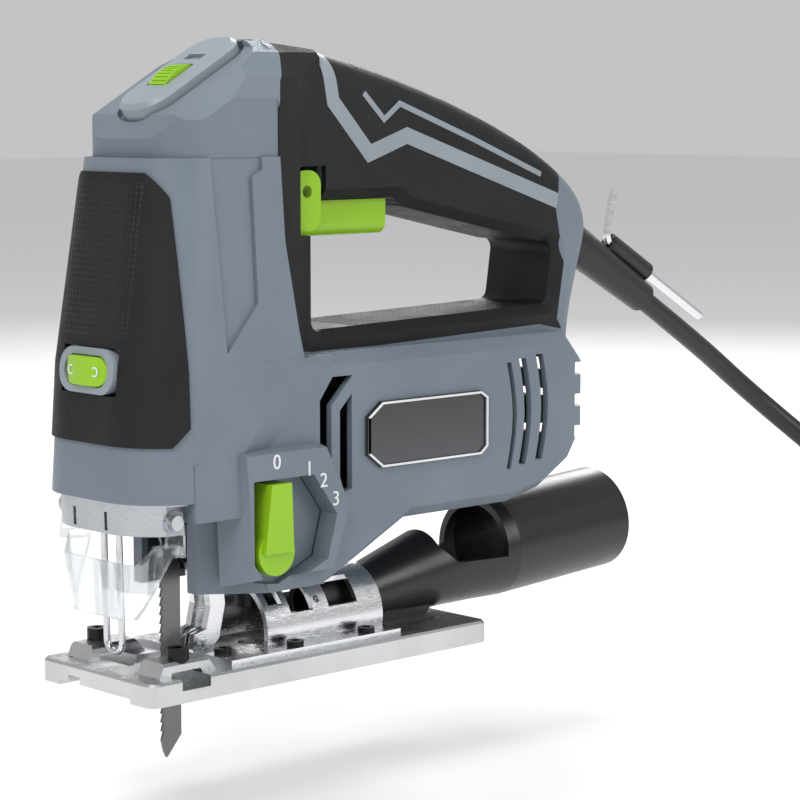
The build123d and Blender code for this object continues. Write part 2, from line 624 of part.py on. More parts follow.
# ---------------------------------------------------------------- sole plate, saddle, nozzle
def build_base():
    """Cast sole plate, saddle bracket, fence clamps and screws."""
    rear_x = PLATE_FRONT_X + PLATE_LENGTH
    half = PLATE_WIDTH / 2
    plate = block((PLATE_FRONT_X, rear_x), (-half, half), (0.0, PLATE_THICKNESS))
    plate = fillet(plate.edges().filter_by(Axis.Z), PLATE_CORNER_R)
    plate = chamfer(plate.edges().group_by(Axis.Z)[-1], 0.8)
    window = fillet(block((-40.0, -10.0), (-9.0, 9.0), (-5.0, 20.0)).edges().filter_by(Axis.Z), 2.5)
    window = window + prism_x([(-15.0, -0.5), (15.0, -0.5), (9.6, 5.0), (-9.6, 5.0)], -40.0, -22.5)
    toe_relief = block((PLATE_FRONT_X - 1.0, -50.0), (-19.0, 19.0), (-1.0, 1.6))
    notch = block((PLATE_FRONT_X - 1.0, -54.0), (8.0, 14.0), (-1.0, 4.0))
    channel = block((FENCE_X[0], FENCE_X[1]), (-half - 1.0, half + 1.0), (FENCE_BOTTOM_Z, 20.0))
    corner_holes = both_sides(rod("Z", (-52.0, 22.0), 1.3, -1.0, 20.0))
    rear_hole = both_sides(rod("Z", (80.0, 15.0), 1.6, -1.0, 20.0))
    key_hole = rod("Z", (TILT_SCREW_X, 0.0), 3.6, -1.0, 20.0)
    plate = plate - window - toe_relief - notch - channel - corner_holes - rear_hole - key_hole
    holes = [rod("Z", spot, 1.6, -1.0, 20.0) for spot in flange_screw_spots()]
    keep("sole_plate", plate - unite(holes))

    barrel = rod("X", (0.0, TILT_AXIS_Z), SADDLE_RADIUS, SADDLE_FRONT_X, SADDLE_REAR_X)
    barrel = barrel - rod("X", (0.0, TILT_AXIS_Z), SADDLE_RADIUS - SADDLE_WALL, SADDLE_FRONT_X - 1, SADDLE_REAR_X + 1)
    barrel = barrel & block((-10, 80), (-40, 40), (PLATE_THICKNESS, 60))
    windows = both_sides(block((10.0, 20.0), (8.0, 30.0), (19.0, 27.5)))
    windows = windows + both_sides(block((27.0, 40.0), (8.0, 30.0), (19.0, 27.5)))
    reach = 40.0 * math.tan(math.radians(56.0))
    slot = prism_x([(0.0, TILT_AXIS_Z), (-reach, TILT_AXIS_Z + 40.0), (reach, TILT_AXIS_Z + 40.0)], TILT_SCREW_X - 2.9, TILT_SCREW_X + 2.9)
    dimple = both_sides(rod("Y", (22.5, 22.0), 1.2, 5.0, 30.0))
    flange_half = SADDLE_RADIUS + 9.0
    flange = block((SADDLE_FRONT_X, SADDLE_REAR_X), (-flange_half, flange_half), (PLATE_THICKNESS, PLATE_THICKNESS + FLANGE_THICKNESS))
    tongue = block((-24.0, SADDLE_FRONT_X), (-flange_half, -11.0), (PLATE_THICKNESS, PLATE_THICKNESS + FLANGE_THICKNESS))
    flange = flange + tongue + mirrored(tongue)
    bore = block((SADDLE_FRONT_X - 1, 80), (-SADDLE_RADIUS + 0.5, SADDLE_RADIUS - 0.5), (0, 20))
    holes = unite([rod("Z", spot, 1.7, 0.0, 20.0) for spot in flange_screw_spots()])
    keep("saddle_bracket", barrel - windows - slot - dimple + (flange - bore) - holes)

    heads = []
    for x, y in flange_screw_spots():
        top = PLATE_THICKNESS + FLANGE_THICKNESS
        head = rod("Z", (x, y), 2.9, top, top + 1.6) - rod("Z", (x, y), 1.4, top + 0.7, top + 3.0)
        heads.append(head + rod("Z", (x, y), 1.55, 2.0, top))
    keep("saddle_screws", Compound(children=[single(head) for head in heads]))

    bridges = []
    screws = []
    for side in (-1, 1):
        bridges.append(fence_clamp(side))
        x, y = CLAMP_SCREW_X, side * CLAMP_SCREW_Y
        head = rod("Z", (x, y), 3.5, CLAMP_TOP_Z, CLAMP_TOP_Z + 4.0)
        socket = extrude(Pos(x, y, CLAMP_TOP_Z + 1.8) * RegularPolygon(1.73, 6), amount=4.0)
        screws.append(head - socket + rod("Z", (x, y), 1.7, 9.0, CLAMP_TOP_Z))
    keep("fence_clamps", Compound(children=[single(bridge) for bridge in bridges]))
    keep("fence_clamp_screws", Compound(children=[single(screw) for screw in screws]))
    bolt = rod("Z", (TILT_SCREW_X, 0.0), 2.5, 24.0, 41.0) + rod("Z", (TILT_SCREW_X, 0.0), 4.6, 20.5, 26.6)
    keep("tilt_clamp_screw", bolt - extrude(Pos(TILT_SCREW_X, 0.0, 18.0) * RegularPolygon(2.3, 6), amount=5.5))


FENCE_X = (-47.5, -36.0)
FENCE_BOTTOM_Z = 4.0
CLAMP_SCREW_X = -42.5
CLAMP_SCREW_Y = 21.5
CLAMP_TOP_Z = 12.2


def flange_screw_spots():
    return [(x, side * y) for side in (-1, 1) for x, y in ((-18.0, 14.0), (7.0, 21.5), (39.0, 21.5))]


def fence_clamp(side):
    """Cast bridge over the fence channel, held by one screw."""
    arch = [
        (-52.5, PLATE_THICKNESS), (-50.5, CLAMP_TOP_Z), (-33.0, CLAMP_TOP_Z), (-29.5, PLATE_THICKNESS), (-35.0, PLATE_THICKNESS),
        (-36.0, 9.0), (-47.5, 9.0), (-48.0, PLATE_THICKNESS),
    ]
    bridge = prism_y(arch, CLAMP_SCREW_Y - 8.5, CLAMP_SCREW_Y + 3.2) - rod("Z", (CLAMP_SCREW_X, CLAMP_SCREW_Y), 1.7, 0.0, 20.0)
    bridge = chamfer(bridge.edges().filter_by(Axis.X).group_by(Axis.Z)[-1], 1.0)
    return bridge if side > 0 else mirrored(bridge)


def single(shape):
    return biggest(shape)


def nozzle_ring(radius, x, z, tilt):
    plane = Plane(origin=(x, 0, z), x_dir=(0, 1, 0), z_dir=(math.cos(math.radians(tilt)), 0, math.sin(math.radians(tilt))))
    return plane * Circle(radius)


def nozzle_loft(shrink):
    """Flared duct: a narrow neck in the saddle, a cone, and the round hose outlet."""
    outlet_x = 104.0
    end_x, end_z = NOZZLE_END_X, NOZZLE_END_Z
    slope = math.tan(math.radians(NOZZLE_TILT))
    neck_z = TILT_AXIS_Z + 4.5
    neck = nozzle_ring(NECK_RADIUS - shrink, 31.0, neck_z, 0.0)
    throat = nozzle_ring(NECK_RADIUS - shrink, 52.0, neck_z, 0.0)
    mouth = nozzle_ring(NOZZLE_OUTER_RADIUS - 2.0 - shrink, outlet_x, end_z - slope * (end_x - outlet_x) - 1.0, NOZZLE_TILT)
    step = nozzle_ring(NOZZLE_OUTER_RADIUS - shrink, outlet_x + 14.0, end_z - slope * (end_x - outlet_x - 14.0), NOZZLE_TILT)
    end = nozzle_ring(NOZZLE_OUTER_RADIUS - shrink, end_x, end_z, NOZZLE_TILT)
    pieces = [loft([neck, throat], ruled=True), loft([throat, mouth], ruled=True), loft([mouth, step], ruled=True)]
    return unite(pieces + [loft([step, end], ruled=True)])


NECK_RADIUS = 9.6


def build_nozzle():
    """Dust nozzle with a round bore for a hose, cut open on top behind the cone."""
    wall = NOZZLE_OUTER_RADIUS - NOZZLE_BORE_RADIUS
    end = nozzle_ring(NOZZLE_BORE_RADIUS, NOZZLE_END_X, NOZZLE_END_Z, NOZZLE_TILT)
    bore = nozzle_loft(wall) + extrude(end, amount=10.0)
    bore = bore + rod("X", (0.0, TILT_AXIS_Z + 4.5), NECK_RADIUS - wall, 25.0, 40.0)
    shell = nozzle_loft(0.0) - bore
    foot = prism_y([(58.0, PLATE_THICKNESS), (62.0, 14.0), (86.0, 14.0), (80.0, PLATE_THICKNESS)], -8.0, 8.0) - nozzle_loft(0.4)
    window = prism_y([(80.0, 36.0), (96.0, 20.0), (112.0, 24.0), (113.0, 70.0), (80.0, 70.0)], -40.0, 40.0)
    window = window & block((84.0, 113.0), (-40, 40), (26.0, 70.0))
    keep("dust_nozzle", biggest(shell + foot - window - bore))


# ---------------------------------------------------------------- blade drive
def involute_gear(teeth, width, bore, phase=0.0):
    """Spur gear about Z with involute flanks, backlash taken off the tooth."""
    pitch_r = GEAR_MODULE * teeth / 2
    base_r = pitch_r * math.cos(math.radians(20.0))
    tip_r = pitch_r + 0.9 * GEAR_MODULE
    root_r = pitch_r - 1.25 * GEAR_MODULE
    half_at_pitch = math.pi / (2 * teeth) - 0.06 / pitch_r
    roll_pitch = math.sqrt((pitch_r / base_r) ** 2 - 1)
    offset = half_at_pitch + roll_pitch - math.atan(roll_pitch)
    flank = []
    for step in range(5):
        radius = max(base_r, root_r) + (tip_r - max(base_r, root_r)) * step / 4
        roll = math.sqrt(max((radius / base_r) ** 2 - 1, 0.0))
        flank.append((radius, offset - (roll - math.atan(roll))))
    points = []
    for tooth in range(teeth):
        middle = 2 * math.pi * tooth / teeth + phase
        side = [(root_r, flank[0][1])] + flank if root_r < base_r - 0.01 else flank
        for radius, angle in side:
            points.append((radius * math.cos(middle - angle), radius * math.sin(middle - angle)))
        for radius, angle in reversed(side):
            points.append((radius * math.cos(middle + angle), radius * math.sin(middle + angle)))
    face = make_face(Polyline(*points, close=True)) - Circle(bore)
    return extrude(face, amount=width)


def along_x(solid, x, z):
    """Place a solid made about Z so that its axis runs along +X from x."""
    return Plane(origin=(x, 0, z), x_dir=(0, 1, 0), z_dir=(1, 0, 0)) * solid


def gear_axis_z():
    return MOTOR_AXIS_Z + GEAR_MODULE * (GEAR_TEETH + PINION_TEETH) / 2


def build_drive():
    """Gear pair, crank pin, yoke, plunger, bushes, gear case and shaft."""
    gear_z = gear_axis_z()
    mesh_phase = -math.pi / 2
    crank_z = gear_z
    gear = along_x(involute_gear(GEAR_TEETH, GEAR_WIDTH, 3.0 + RUNNING_GAP, mesh_phase), GEAR_FRONT_X, gear_z)
    gear = gear + rod("X", (CRANK_THROW, crank_z), 3.0, GEAR_FRONT_X - 6.6, GEAR_FRONT_X + 1.0)
    keep("drive_gear", gear)
    keep("gear_shaft", rod("X", (0.0, gear_z), 3.0, GEAR_FRONT_X + 0.5, 10.0))

    plunger = rod("Z", (PLUNGER_X, 0.0), PLUNGER_RADIUS, 68.0, 165.0)
    keep("plunger", plunger)
    yoke = block((PLUNGER_X - 7.0, GEAR_FRONT_X - 7.0), (-16.0, 16.0), (crank_z - 6.4, crank_z + 6.4))
    slot = block((GEAR_FRONT_X - 11.0, GEAR_FRONT_X), (-13.6, 13.6), (crank_z - 3.3, crank_z + 3.3))
    yoke = yoke - rod("Z", (PLUNGER_X, 0.0), PLUNGER_RADIUS, 50.0, 200.0) - slot
    keep("yoke", yoke)
    bushes = [
        tube("Z", (PLUNGER_X, 0.0), PLUNGER_RADIUS + 3.0, PLUNGER_RADIUS + RUNNING_GAP, low, high)
        for low, high in BUSH_SPANS
    ]
    keep("plunger_bushes", Compound(children=[single(bush) for bush in bushes]))
    case = block((2.0, 9.0), (-24.0, 24.0), (MOTOR_AXIS_Z - 13.0, 104.5)) + block((1.0, 9.0), (-20.0, 20.0), (100.0, 158.0))
    for low, high in BUSH_SPANS:
        case = case + block((PLUNGER_X - 10.0, 2.0), (-10.5, 10.5), (low, high))
    clear_gear = rod("X", (0.0, gear_z), GEAR_MODULE * GEAR_TEETH / 2 + 2.2, GEAR_FRONT_X - 1.0, GEAR_FRONT_X + GEAR_WIDTH + 1.0)
    clear_pinion = rod("X", (0.0, MOTOR_AXIS_Z), 7.5, GEAR_FRONT_X - 1.0, GEAR_FRONT_X + GEAR_WIDTH + 1.5)
    bores = rod("Z", (PLUNGER_X, 0.0), PLUNGER_RADIUS + 3.0, 70.0, 170.0) + rod("X", (0.0, gear_z), 3.0, -20.0, 20.0)
    bores = bores + rod("X", (0.0, MOTOR_AXIS_Z), 9.5, 1.0, 20.0)
    keep("gear_case", case - clear_gear - clear_pinion - bores)


def build_motor():
    """Universal motor: stator, coils, armature, commutator, fan, bearings and brushes."""
    z = MOTOR_AXIS_Z
    stator_rear = STATOR_FRONT_X + STATOR_LENGTH
    bore = ARMATURE_RADIUS + 0.8
    stator = tube("X", (0.0, z), STATOR_RADIUS, bore, STATOR_FRONT_X, stator_rear)
    coil_slots = both_sides(block((0, 200), (14.0, 19.0), (z - 13.0, z + 13.0)))
    keep("stator_core", biggest(stator - coil_slots))
    coils = []
    for low, high in ((STATOR_FRONT_X - 6.0, STATOR_FRONT_X), (stator_rear, stator_rear + 6.0)):
        coils.append(tube("X", (0.0, z), 23.0, 18.0, low, high))
    keep("field_coils", Compound(children=[single(coil) for coil in coils]))

    keep("armature_core", tube("X", (0.0, z), ARMATURE_RADIUS, SHAFT_RADIUS, STATOR_FRONT_X + 1.0, stator_rear - 1.0))
    pinion_front = GEAR_FRONT_X - 0.5
    shaft = rod("X", (0.0, z), SHAFT_RADIUS, 0.2, 127.0)
    phase = math.pi / 2 + math.pi / PINION_TEETH
    pinion = along_x(involute_gear(PINION_TEETH, GEAR_WIDTH + 1.0, 0.5, phase), pinion_front, z)
    keep("armature_shaft", shaft + pinion + rod("X", (0.0, z), 2.5, pinion_front, 1.0))
    keep("commutator", tube("X", (0.0, z), 10.5, SHAFT_RADIUS, 94.0, 106.0))
    fan = tube("X", (0.0, z), 8.0, SHAFT_RADIUS, 24.0, 32.0) + tube("X", (0.0, z), 23.4, 7.0, 30.0, 32.0)
    for blade in range(10):
        vane = Pos(27.0, 0.0, z) * Rot(36.0 * blade, 0.0, 0.0) * Pos(0.0, 14.8, 0.0) * Box(8.0, 17.0, 1.4)
        fan = fan + vane
    keep("cooling_fan", fan)
    bearings = [tube("X", (0.0, z), 9.5, SHAFT_RADIUS + RUNNING_GAP, low, low + 6.0) for low in (2.0, 116.0)]
    keep("shaft_bearings", Compound(children=[single(bearing) for bearing in bearings]))
    cup = tube("X", (0.0, z), 12.0, 9.5, 114.0, 122.0) + block((114.0, 120.0), (-28.0, -11.0), (z - 5.0, z + 5.0))
    keep("rear_bearing_seat", cup + block((114.0, 120.0), (11.0, 28.0), (z - 5.0, z + 5.0)) - rod("X", (0.0, z), 9.5, 110, 130))
    holder = block((94.5, 105.5), (12.5, 28.0), (z - 5.5, z + 5.5)) - block((96.5, 103.5), (10.0, 26.0), (z - 3.5, z + 3.5))
    brush = block((96.6, 103.4), (10.6, 19.0), (z - 3.4, z + 3.4)) - rod("X", (0.0, z), 10.55, 90.0, 110.0)
    spring = Plane(origin=(100.0, 19.05, z), x_dir=(1, 0, 0), z_dir=(0, 1, 0)) * coil_spring(2.4, 0.45, 6.9, 4.5)
    for name, piece in (("brush_holders", holder), ("carbon_brushes", brush), ("brush_springs", spring)):
        keep(name, Compound(children=[single(piece), single(mirrored(piece))]))


def coil_spring(radius, wire, length, turns):
    """Compression spring about Z, from z = 0 to length."""
    path = Pos(0, 0, wire) * Helix(pitch=(length - 2 * wire) / turns, height=length - 2 * wire, radius=radius)
    start = Plane(origin=path @ 0, z_dir=path % 0)
    return sweep(start * Circle(wire), path=path)


def build_blade():
    """Blade clamp, its sleeve and spring, blade, roller guide and chip guard."""
    body = rod("Z", (PLUNGER_X, 0.0), 6.0, 56.0, 73.2) - rod("Z", (PLUNGER_X, 0.0), PLUNGER_RADIUS, 68.0, 80.0)
    shank_room = block((PLUNGER_X - 3.4, PLUNGER_X + 3.4), (-0.8, 0.8), (50.0, 67.0))
    keep("blade_clamp_body", body - shank_room)
    sleeve = tube("Z", (PLUNGER_X, 0.0), 8.4, 6.0 + RUNNING_GAP, 52.5, 68.0)
    sleeve = sleeve + fillet(block((PLUNGER_X - 16.0, PLUNGER_X - 6.0), (-3.5, 3.5), (54.0, 60.0)).edges().filter_by(Axis.Z), 2.0)
    keep("blade_clamp_sleeve", sleeve - rod("Z", (PLUNGER_X, 0.0), 6.0 + RUNNING_GAP, 40.0, 80.0))
    spring = Pos(PLUNGER_X, 0.0, 68.3) * coil_spring(7.3, 0.5, 4.8, 2.5)
    keep("blade_clamp_spring", spring)

    front = PLUNGER_X - BLADE_WIDTH / 2
    back = PLUNGER_X + BLADE_WIDTH / 2
    blade = [(back, BLADE_TIP_Z + 7.0), (back, 48.0), (PLUNGER_X + 3.0, 50.0), (PLUNGER_X + 3.0, 66.5), (PLUNGER_X - 3.0, 66.5)]
    blade += [(PLUNGER_X - 3.0, 50.0), (front, 48.0)]
    pitch = 3.0
    tooth_z = 46.0
    while tooth_z - pitch > BLADE_TIP_Z + 3.0:
        blade += [(front + 0.9, tooth_z), (front, tooth_z - pitch)]
        tooth_z -= pitch
    blade += [(front + 1.0, BLADE_TIP_Z + 2.0), (front + 2.0, BLADE_TIP_Z)]
    half = BLADE_THICKNESS / 2
    keep("saw_blade", prism_y(blade, -half, half))

    roller_x = back + ROLLER_RADIUS + 0.35
    roller = tube("Y", (roller_x, ROLLER_AXIS_Z), ROLLER_RADIUS, 1.6 + RUNNING_GAP, -2.2, 2.2)
    groove = tube("Y", (roller_x, ROLLER_AXIS_Z), ROLLER_RADIUS + 1, ROLLER_RADIUS - 0.9, -0.75, 0.75)
    keep("support_roller", roller - groove)
    keep("roller_pin", rod("Y", (roller_x, ROLLER_AXIS_Z), 1.6, -6.8, 6.8))
    outline = [
        (roller_x - 4.4, ROLLER_AXIS_Z - 1.5), (roller_x - 3.0, ROLLER_AXIS_Z - 4.0), (roller_x + 1.5, ROLLER_AXIS_Z - 4.6),
        (roller_x + 7.0, ROLLER_AXIS_Z + 1.0), (roller_x + 9.6, ROLLER_AXIS_Z + 12.0), (roller_x + 8.2, ROLLER_AXIS_Z + 26.0),
        (roller_x + 4.4, ROLLER_AXIS_Z + 30.5), (roller_x + 1.2, ROLLER_AXIS_Z + 26.0), (roller_x + 3.4, ROLLER_AXIS_Z + 12.0),
        (roller_x + 1.6, ROLLER_AXIS_Z + 4.6), (roller_x - 3.4, ROLLER_AXIS_Z + 3.4),
    ]
    guide = prism_y(outline, -5.6, 5.6) - block((-60, 40), (-2.8, 2.8), (-5.0, ROLLER_AXIS_Z + 17.0))
    guide = guide - rod("Y", (roller_x, ROLLER_AXIS_Z), 1.6, -10.0, 10.0)
    pivot = (roller_x + 4.6, ROLLER_AXIS_Z + 26.0)
    keep("roller_guide", guide - rod("Y", pivot, 1.8 + RUNNING_GAP, -10.0, 10.0))
    keep("guide_pivot_pin", rod("Y", pivot, 1.8, -GUIDE_SLOT_HALF, GUIDE_SLOT_HALF))

    wire = 1.1
    legs = FilletPolyline((-52.5, -4.0, 60.0), (-51.5, -4.0, 12.5), (-51.5, 4.0, 12.5), (-52.5, 4.0, 60.0), radius=3.9)
    hoop = sweep(Plane(origin=legs @ 0, z_dir=legs % 0) * Circle(wire), path=legs)
    bar = block((-57.5, -50.0), (-6.0, 6.0), (57.0, 63.5))
    keep("wire_guard", hoop + bar)


def build_guard():
    """Clear chip guard: bowed front wall and two ears on the collar's bosses."""
    outer = layers([(-59.0, -10.0, 18.5, 9.0, 1.0, 26.0), (-60.3, -10.0, 23.6, 10.0, 1.0, 50.0)])
    inner = layers([(-57.4, -5.0, 16.9, 8.0, 1.0, 25.0), (-58.7, -5.0, 22.0, 9.0, 1.0, 51.0)])
    sweep_cut = prism_y([(-44.7, 51.0), (-44.7, 47.0), (-56.0, 24.0), (-56.0, 20.0), (0, 20), (0, 60)], -40, 40)
    rim_cut = prism_y([(-70.0, 45.0), (-56.0, 44.0), (-52.5, 49.0), (-52.5, 60.0), (-70.0, 60.0)], -40, 40)
    shell = biggest(outer - inner - sweep_cut - rim_cut)
    ear_y = GUARD_EAR_Y
    ear = rod("Y", GUARD_PIVOT, 3.9, ear_y, ear_y + 1.6)
    web = prism_y([(-52.5, 47.0), (-44.7, 46.5), (-44.7, 57.0), (-51.0, 57.0)], 21.9, ear_y + 1.6)
    web = web - prism_y([(-60, 30), (-40, 30), (-40, 45.9), (-60, 45.9)], 0, 40)
    strap = web - block((-60, 0), (0, ear_y), (49.8, 70.0)) - nose_collar_room()
    ears = strap + ear - rod("Y", GUARD_PIVOT, 1.5 + RUNNING_GAP, 0.0, 40.0)
    keep("chip_guard", biggest(shell + ears + mirrored(ears)))
    pin = rod("Y", GUARD_PIVOT, 1.5, 25.2, ear_y + 2.6) + rod("Y", GUARD_PIVOT, 2.4, ear_y + 2.0, ear_y + 2.8)
    keep("guard_pins", Compound(children=[single(pin), single(mirrored(pin))]))


GUARD_PIVOT = (-48.6, 58.0)
GUARD_EAR_Y = 27.0


def nose_collar_room():
    return block((-70.0, -52.0), (0, 60), (51.0, 70.0))


# ---------------------------------------------------------------- cord and electrics
def build_electrics():
    """Control board, cord clamp, strain relief, hex key, screws, cord, coil and plug."""
    board = block((-8.0, 8.0), (-14.0, 14.0), (158.0, 159.6)) + block((-4.0, 4.0), (-6.0, 6.0), (159.6, 167.0))
    keep("speed_control_board", board)
    keep("lamp_module", block((-58.5, -50.5), (-6.0, 6.0), (66.5, 74.5)))
    relief = axial(RELIEF_RADIUS, -2.0, 22.0) + axial(RELIEF_RADIUS, 20.0, RELIEF_LENGTH - 21.0, end_radius=5.9)
    relief = relief + axial(9.5, -6.0, 5.0)
    clip = axial(3.9, 34.0, 24.0, rise=KEY_RISE) + key_web()
    relief = relief + clip - axial(CORD_RADIUS, -20.0, 100.0) - axial(KEY_SIZE / math.sqrt(3) + 0.25, 20.0, 80.0, rise=KEY_RISE)
    keep("strain_relief", biggest(relief))
    keep("hex_key", hex_key())


KEY_RISE = 9.4


def key_web():
    """Web between the strain relief and its key tube."""
    face = relief_plane(36.0, KEY_RISE / 2) * Rectangle(4.0, KEY_RISE)
    return extrude(face, amount=20.0)


def hex_key():
    """L-shaped hexagon key held in the strain relief's tube."""
    radius = KEY_SIZE / math.sqrt(3)
    start = relief_plane(96.0, KEY_RISE)
    bend = relief_plane(32.0, KEY_RISE)
    tip = Vector(bend.origin.X + 4.5, 0.0, bend.origin.Z + 19.0)
    path = FilletPolyline(start.origin, bend.origin, tip, radius=5.0)
    section = Plane(origin=path @ 0, x_dir=(0, 1, 0), z_dir=path % 0) * RegularPolygon(radius, 6)
    return sweep(section, path=path)


def screw_spots():
    """Housing screw places on the right side, (x, z)."""
    return [(-42.0, 128.0), (2.0, 188.0), (28.0, 42.0), (108.0, 57.0), (122.0, 160.0), (80.0, 171.0)]


def build_screws():
    """Six housing screws."""
    screws = []
    for x, z in screw_spots():
        cross = block((x - 2.0, x + 2.0), (11.4, 13.0), (z - 0.4, z + 0.4)) + block((x - 0.4, x + 0.4), (11.4, 13.0), (z - 2.0, z + 2.0))
        screws.append(rod("Y", (x, z), 3.0, 10.0, 12.4) + rod("Y", (x, z), 1.5, -9.0, 10.2) - cross)
    keep("housing_screws", Compound(children=[single(screw) for screw in screws]))


# ---------------------------------------------------------------- cord
COIL_CENTRE = (379.0, -18.5)
COIL_INNER = 36.4
COIL_OUTER = 52.5
COIL_LANDING = -108.0
PLUG_OFFSET = 10.0
PIN_SPACING = 19.0
PIN_RADIUS = 2.3


def cord_points():
    """Corners of the cord's middle line, from inside the housing to the top of the coil."""
    start = relief_plane(-14.0).origin
    second = relief_plane(88.0).origin
    angle = math.radians(COIL_LANDING)
    ring = COIL_OUTER - CORD_RADIUS
    landing_x = COIL_CENTRE[0] + ring * math.cos(angle)
    landing_y = COIL_CENTRE[1] + ring * math.sin(angle)
    landing_z = FLOOR_Z + 6 * CORD_RADIUS + CORD_RADIUS + 0.5
    return [
        (start.X, 0.0, start.Z),
        (second.X, 0.0, second.Z),
        (269.4, 0.0, 71.8),
        (294.8, -24.5, 42.7),
        (landing_x + 36.6 * math.sin(angle), landing_y - 36.6 * math.cos(angle), 1.3),
        (landing_x, landing_y, landing_z),
    ]


def bend_radii(points):
    """Bend radius at each inner corner of a route."""
    radii = []
    for before, corner, after in zip(points, points[1:], points[2:]):
        ahead = Vector(*after) - Vector(*corner)
        behind = Vector(*corner) - Vector(*before)
        half_turn = math.radians(behind.get_angle(ahead)) / 2
        radii.append(0.45 * min(ahead.length, behind.length) / math.tan(half_turn))
    return radii


def build_cord():
    """Power cord, its put-away coil and a plain two-pin plug."""
    points = cord_points()
    radii = bend_radii(points)
    print("cord radii", [round(radius) for radius in radii])
    path = FilletPolyline(*points, radius=radii)
    section = Plane(origin=path @ 0, z_dir=path % 0) * Circle(CORD_RADIUS)
    cord = sweep(section, path=path)
    print("cord length", round(path.length), "volume share", round(cord.volume / (path.length * section.area), 4))
    keep("power_cord", cord)

    cx, cy = COIL_CENTRE
    ring = tube("Z", (cx, cy), COIL_OUTER, COIL_INNER, FLOOR_Z, FLOOR_Z + 6 * CORD_RADIUS)
    ring = fillet(ring.edges().filter_by(GeomType.CIRCLE), 3.5)
    end = Vector(*points[-1])
    heading = (end - Vector(*points[-2])).normalized()
    stub = extrude(Plane(origin=end, z_dir=heading) * Circle(CORD_RADIUS), amount=18.0)
    plug_y = cy + PLUG_OFFSET
    z = FLOOR_Z + CORD_RADIUS
    tail = rod("X", (plug_y, z), CORD_RADIUS, cx + 19.0, cx + COIL_INNER + 1.0)
    keep("cord_coil", biggest(ring + stub + tail))
    sections = ((cx + 18.7, 10.0, 10.0, 1.0, 4.9), (cx + 8.0, 20.0, 14.0, 3.0, 5.0), (cx - 11.0, 24.0, 14.0, 3.0, 5.0))
    body = loft([
        Plane(origin=(x, plug_y, z + rise), x_dir=(0, 1, 0), z_dir=(-1, 0, 0)) * RectangleRounded(wide, high, corner)
        for x, wide, high, rise, corner in sections
    ], ruled=True)
    pins = [
        rod("X", (plug_y + side * PIN_SPACING / 2, z + 3.0), PIN_RADIUS, cx - 28.0, cx - 10.0)
        for side in (-1, 1)
    ]
    keep("mains_plug", unite([body] + pins))


if __name__ == "__main__":
    os.makedirs("parts", exist_ok=True)
    build_housing()
    build_front_pieces()
    build_trigger()
    build_lever()
    build_base()
    build_nozzle()
    build_drive()
    build_motor()
    build_blade()
    build_guard()
    build_electrics()
    build_screws()
    build_cord()
    for node, solid in PARTS.items():
        export_step(solid, "parts/" + node + ".step")
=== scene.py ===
import json
import math

import bpy
from bpy.props import FloatProperty, FloatVectorProperty
from mathutils import Matrix, Vector


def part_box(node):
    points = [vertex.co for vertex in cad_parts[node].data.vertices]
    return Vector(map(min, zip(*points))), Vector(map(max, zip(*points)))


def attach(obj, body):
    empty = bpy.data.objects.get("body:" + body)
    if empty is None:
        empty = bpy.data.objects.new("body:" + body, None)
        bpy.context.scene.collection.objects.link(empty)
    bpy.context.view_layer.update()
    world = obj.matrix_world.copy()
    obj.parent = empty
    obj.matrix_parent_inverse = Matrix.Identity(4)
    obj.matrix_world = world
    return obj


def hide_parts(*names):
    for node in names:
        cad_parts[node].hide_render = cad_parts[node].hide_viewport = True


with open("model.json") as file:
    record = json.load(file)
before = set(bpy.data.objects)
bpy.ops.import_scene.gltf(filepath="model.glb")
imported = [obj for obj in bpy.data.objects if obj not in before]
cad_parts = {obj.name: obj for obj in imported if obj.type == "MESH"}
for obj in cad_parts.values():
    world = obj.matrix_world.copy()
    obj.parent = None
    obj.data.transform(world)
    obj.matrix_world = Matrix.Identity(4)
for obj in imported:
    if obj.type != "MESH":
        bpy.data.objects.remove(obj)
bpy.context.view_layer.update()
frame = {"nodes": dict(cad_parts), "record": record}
NODES = frame["nodes"]

bl_info = {
    "name": "Corded Jigsaw",
    "version": (1, 0, 0),
    "blender": (4, 5, 0),
    "location": "View3D > Sidebar > Jigsaw",
    "description": "Finishes and detail pieces of a corded jigsaw",
    "category": "Object",
}

MM = 0.001
MITRE_LIMIT = 0.3
MERGE_DISTANCE = 0.00001


# ---------------------------------------------------------------- settings
class JigsawFinishes(bpy.types.PropertyGroup):
    shell_colour: FloatVectorProperty(
        name="Shell", description="Colour of the grey housing", subtype="COLOR", size=3,
        default=(0.150, 0.182, 0.222), min=0.0, max=1.0)
    trim_colour: FloatVectorProperty(
        name="Trim", description="Colour of the pale dial surround", subtype="COLOR", size=3,
        default=(0.250, 0.285, 0.320), min=0.0, max=1.0)
    grip_colour: FloatVectorProperty(
        name="Grip", description="Colour of the soft grip", subtype="COLOR", size=3,
        default=(0.006, 0.0065, 0.0075), min=0.0, max=1.0)
    control_colour: FloatVectorProperty(
        name="Controls", description="Colour of trigger, dial, lever and rocker", subtype="COLOR", size=3,
        default=(0.27, 0.52, 0.010), min=0.0, max=1.0)
    plate_colour: FloatVectorProperty(
        name="Sole plate", description="Colour of the cast sole plate", subtype="COLOR", size=3,
        default=(0.60, 0.61, 0.62), min=0.0, max=1.0)


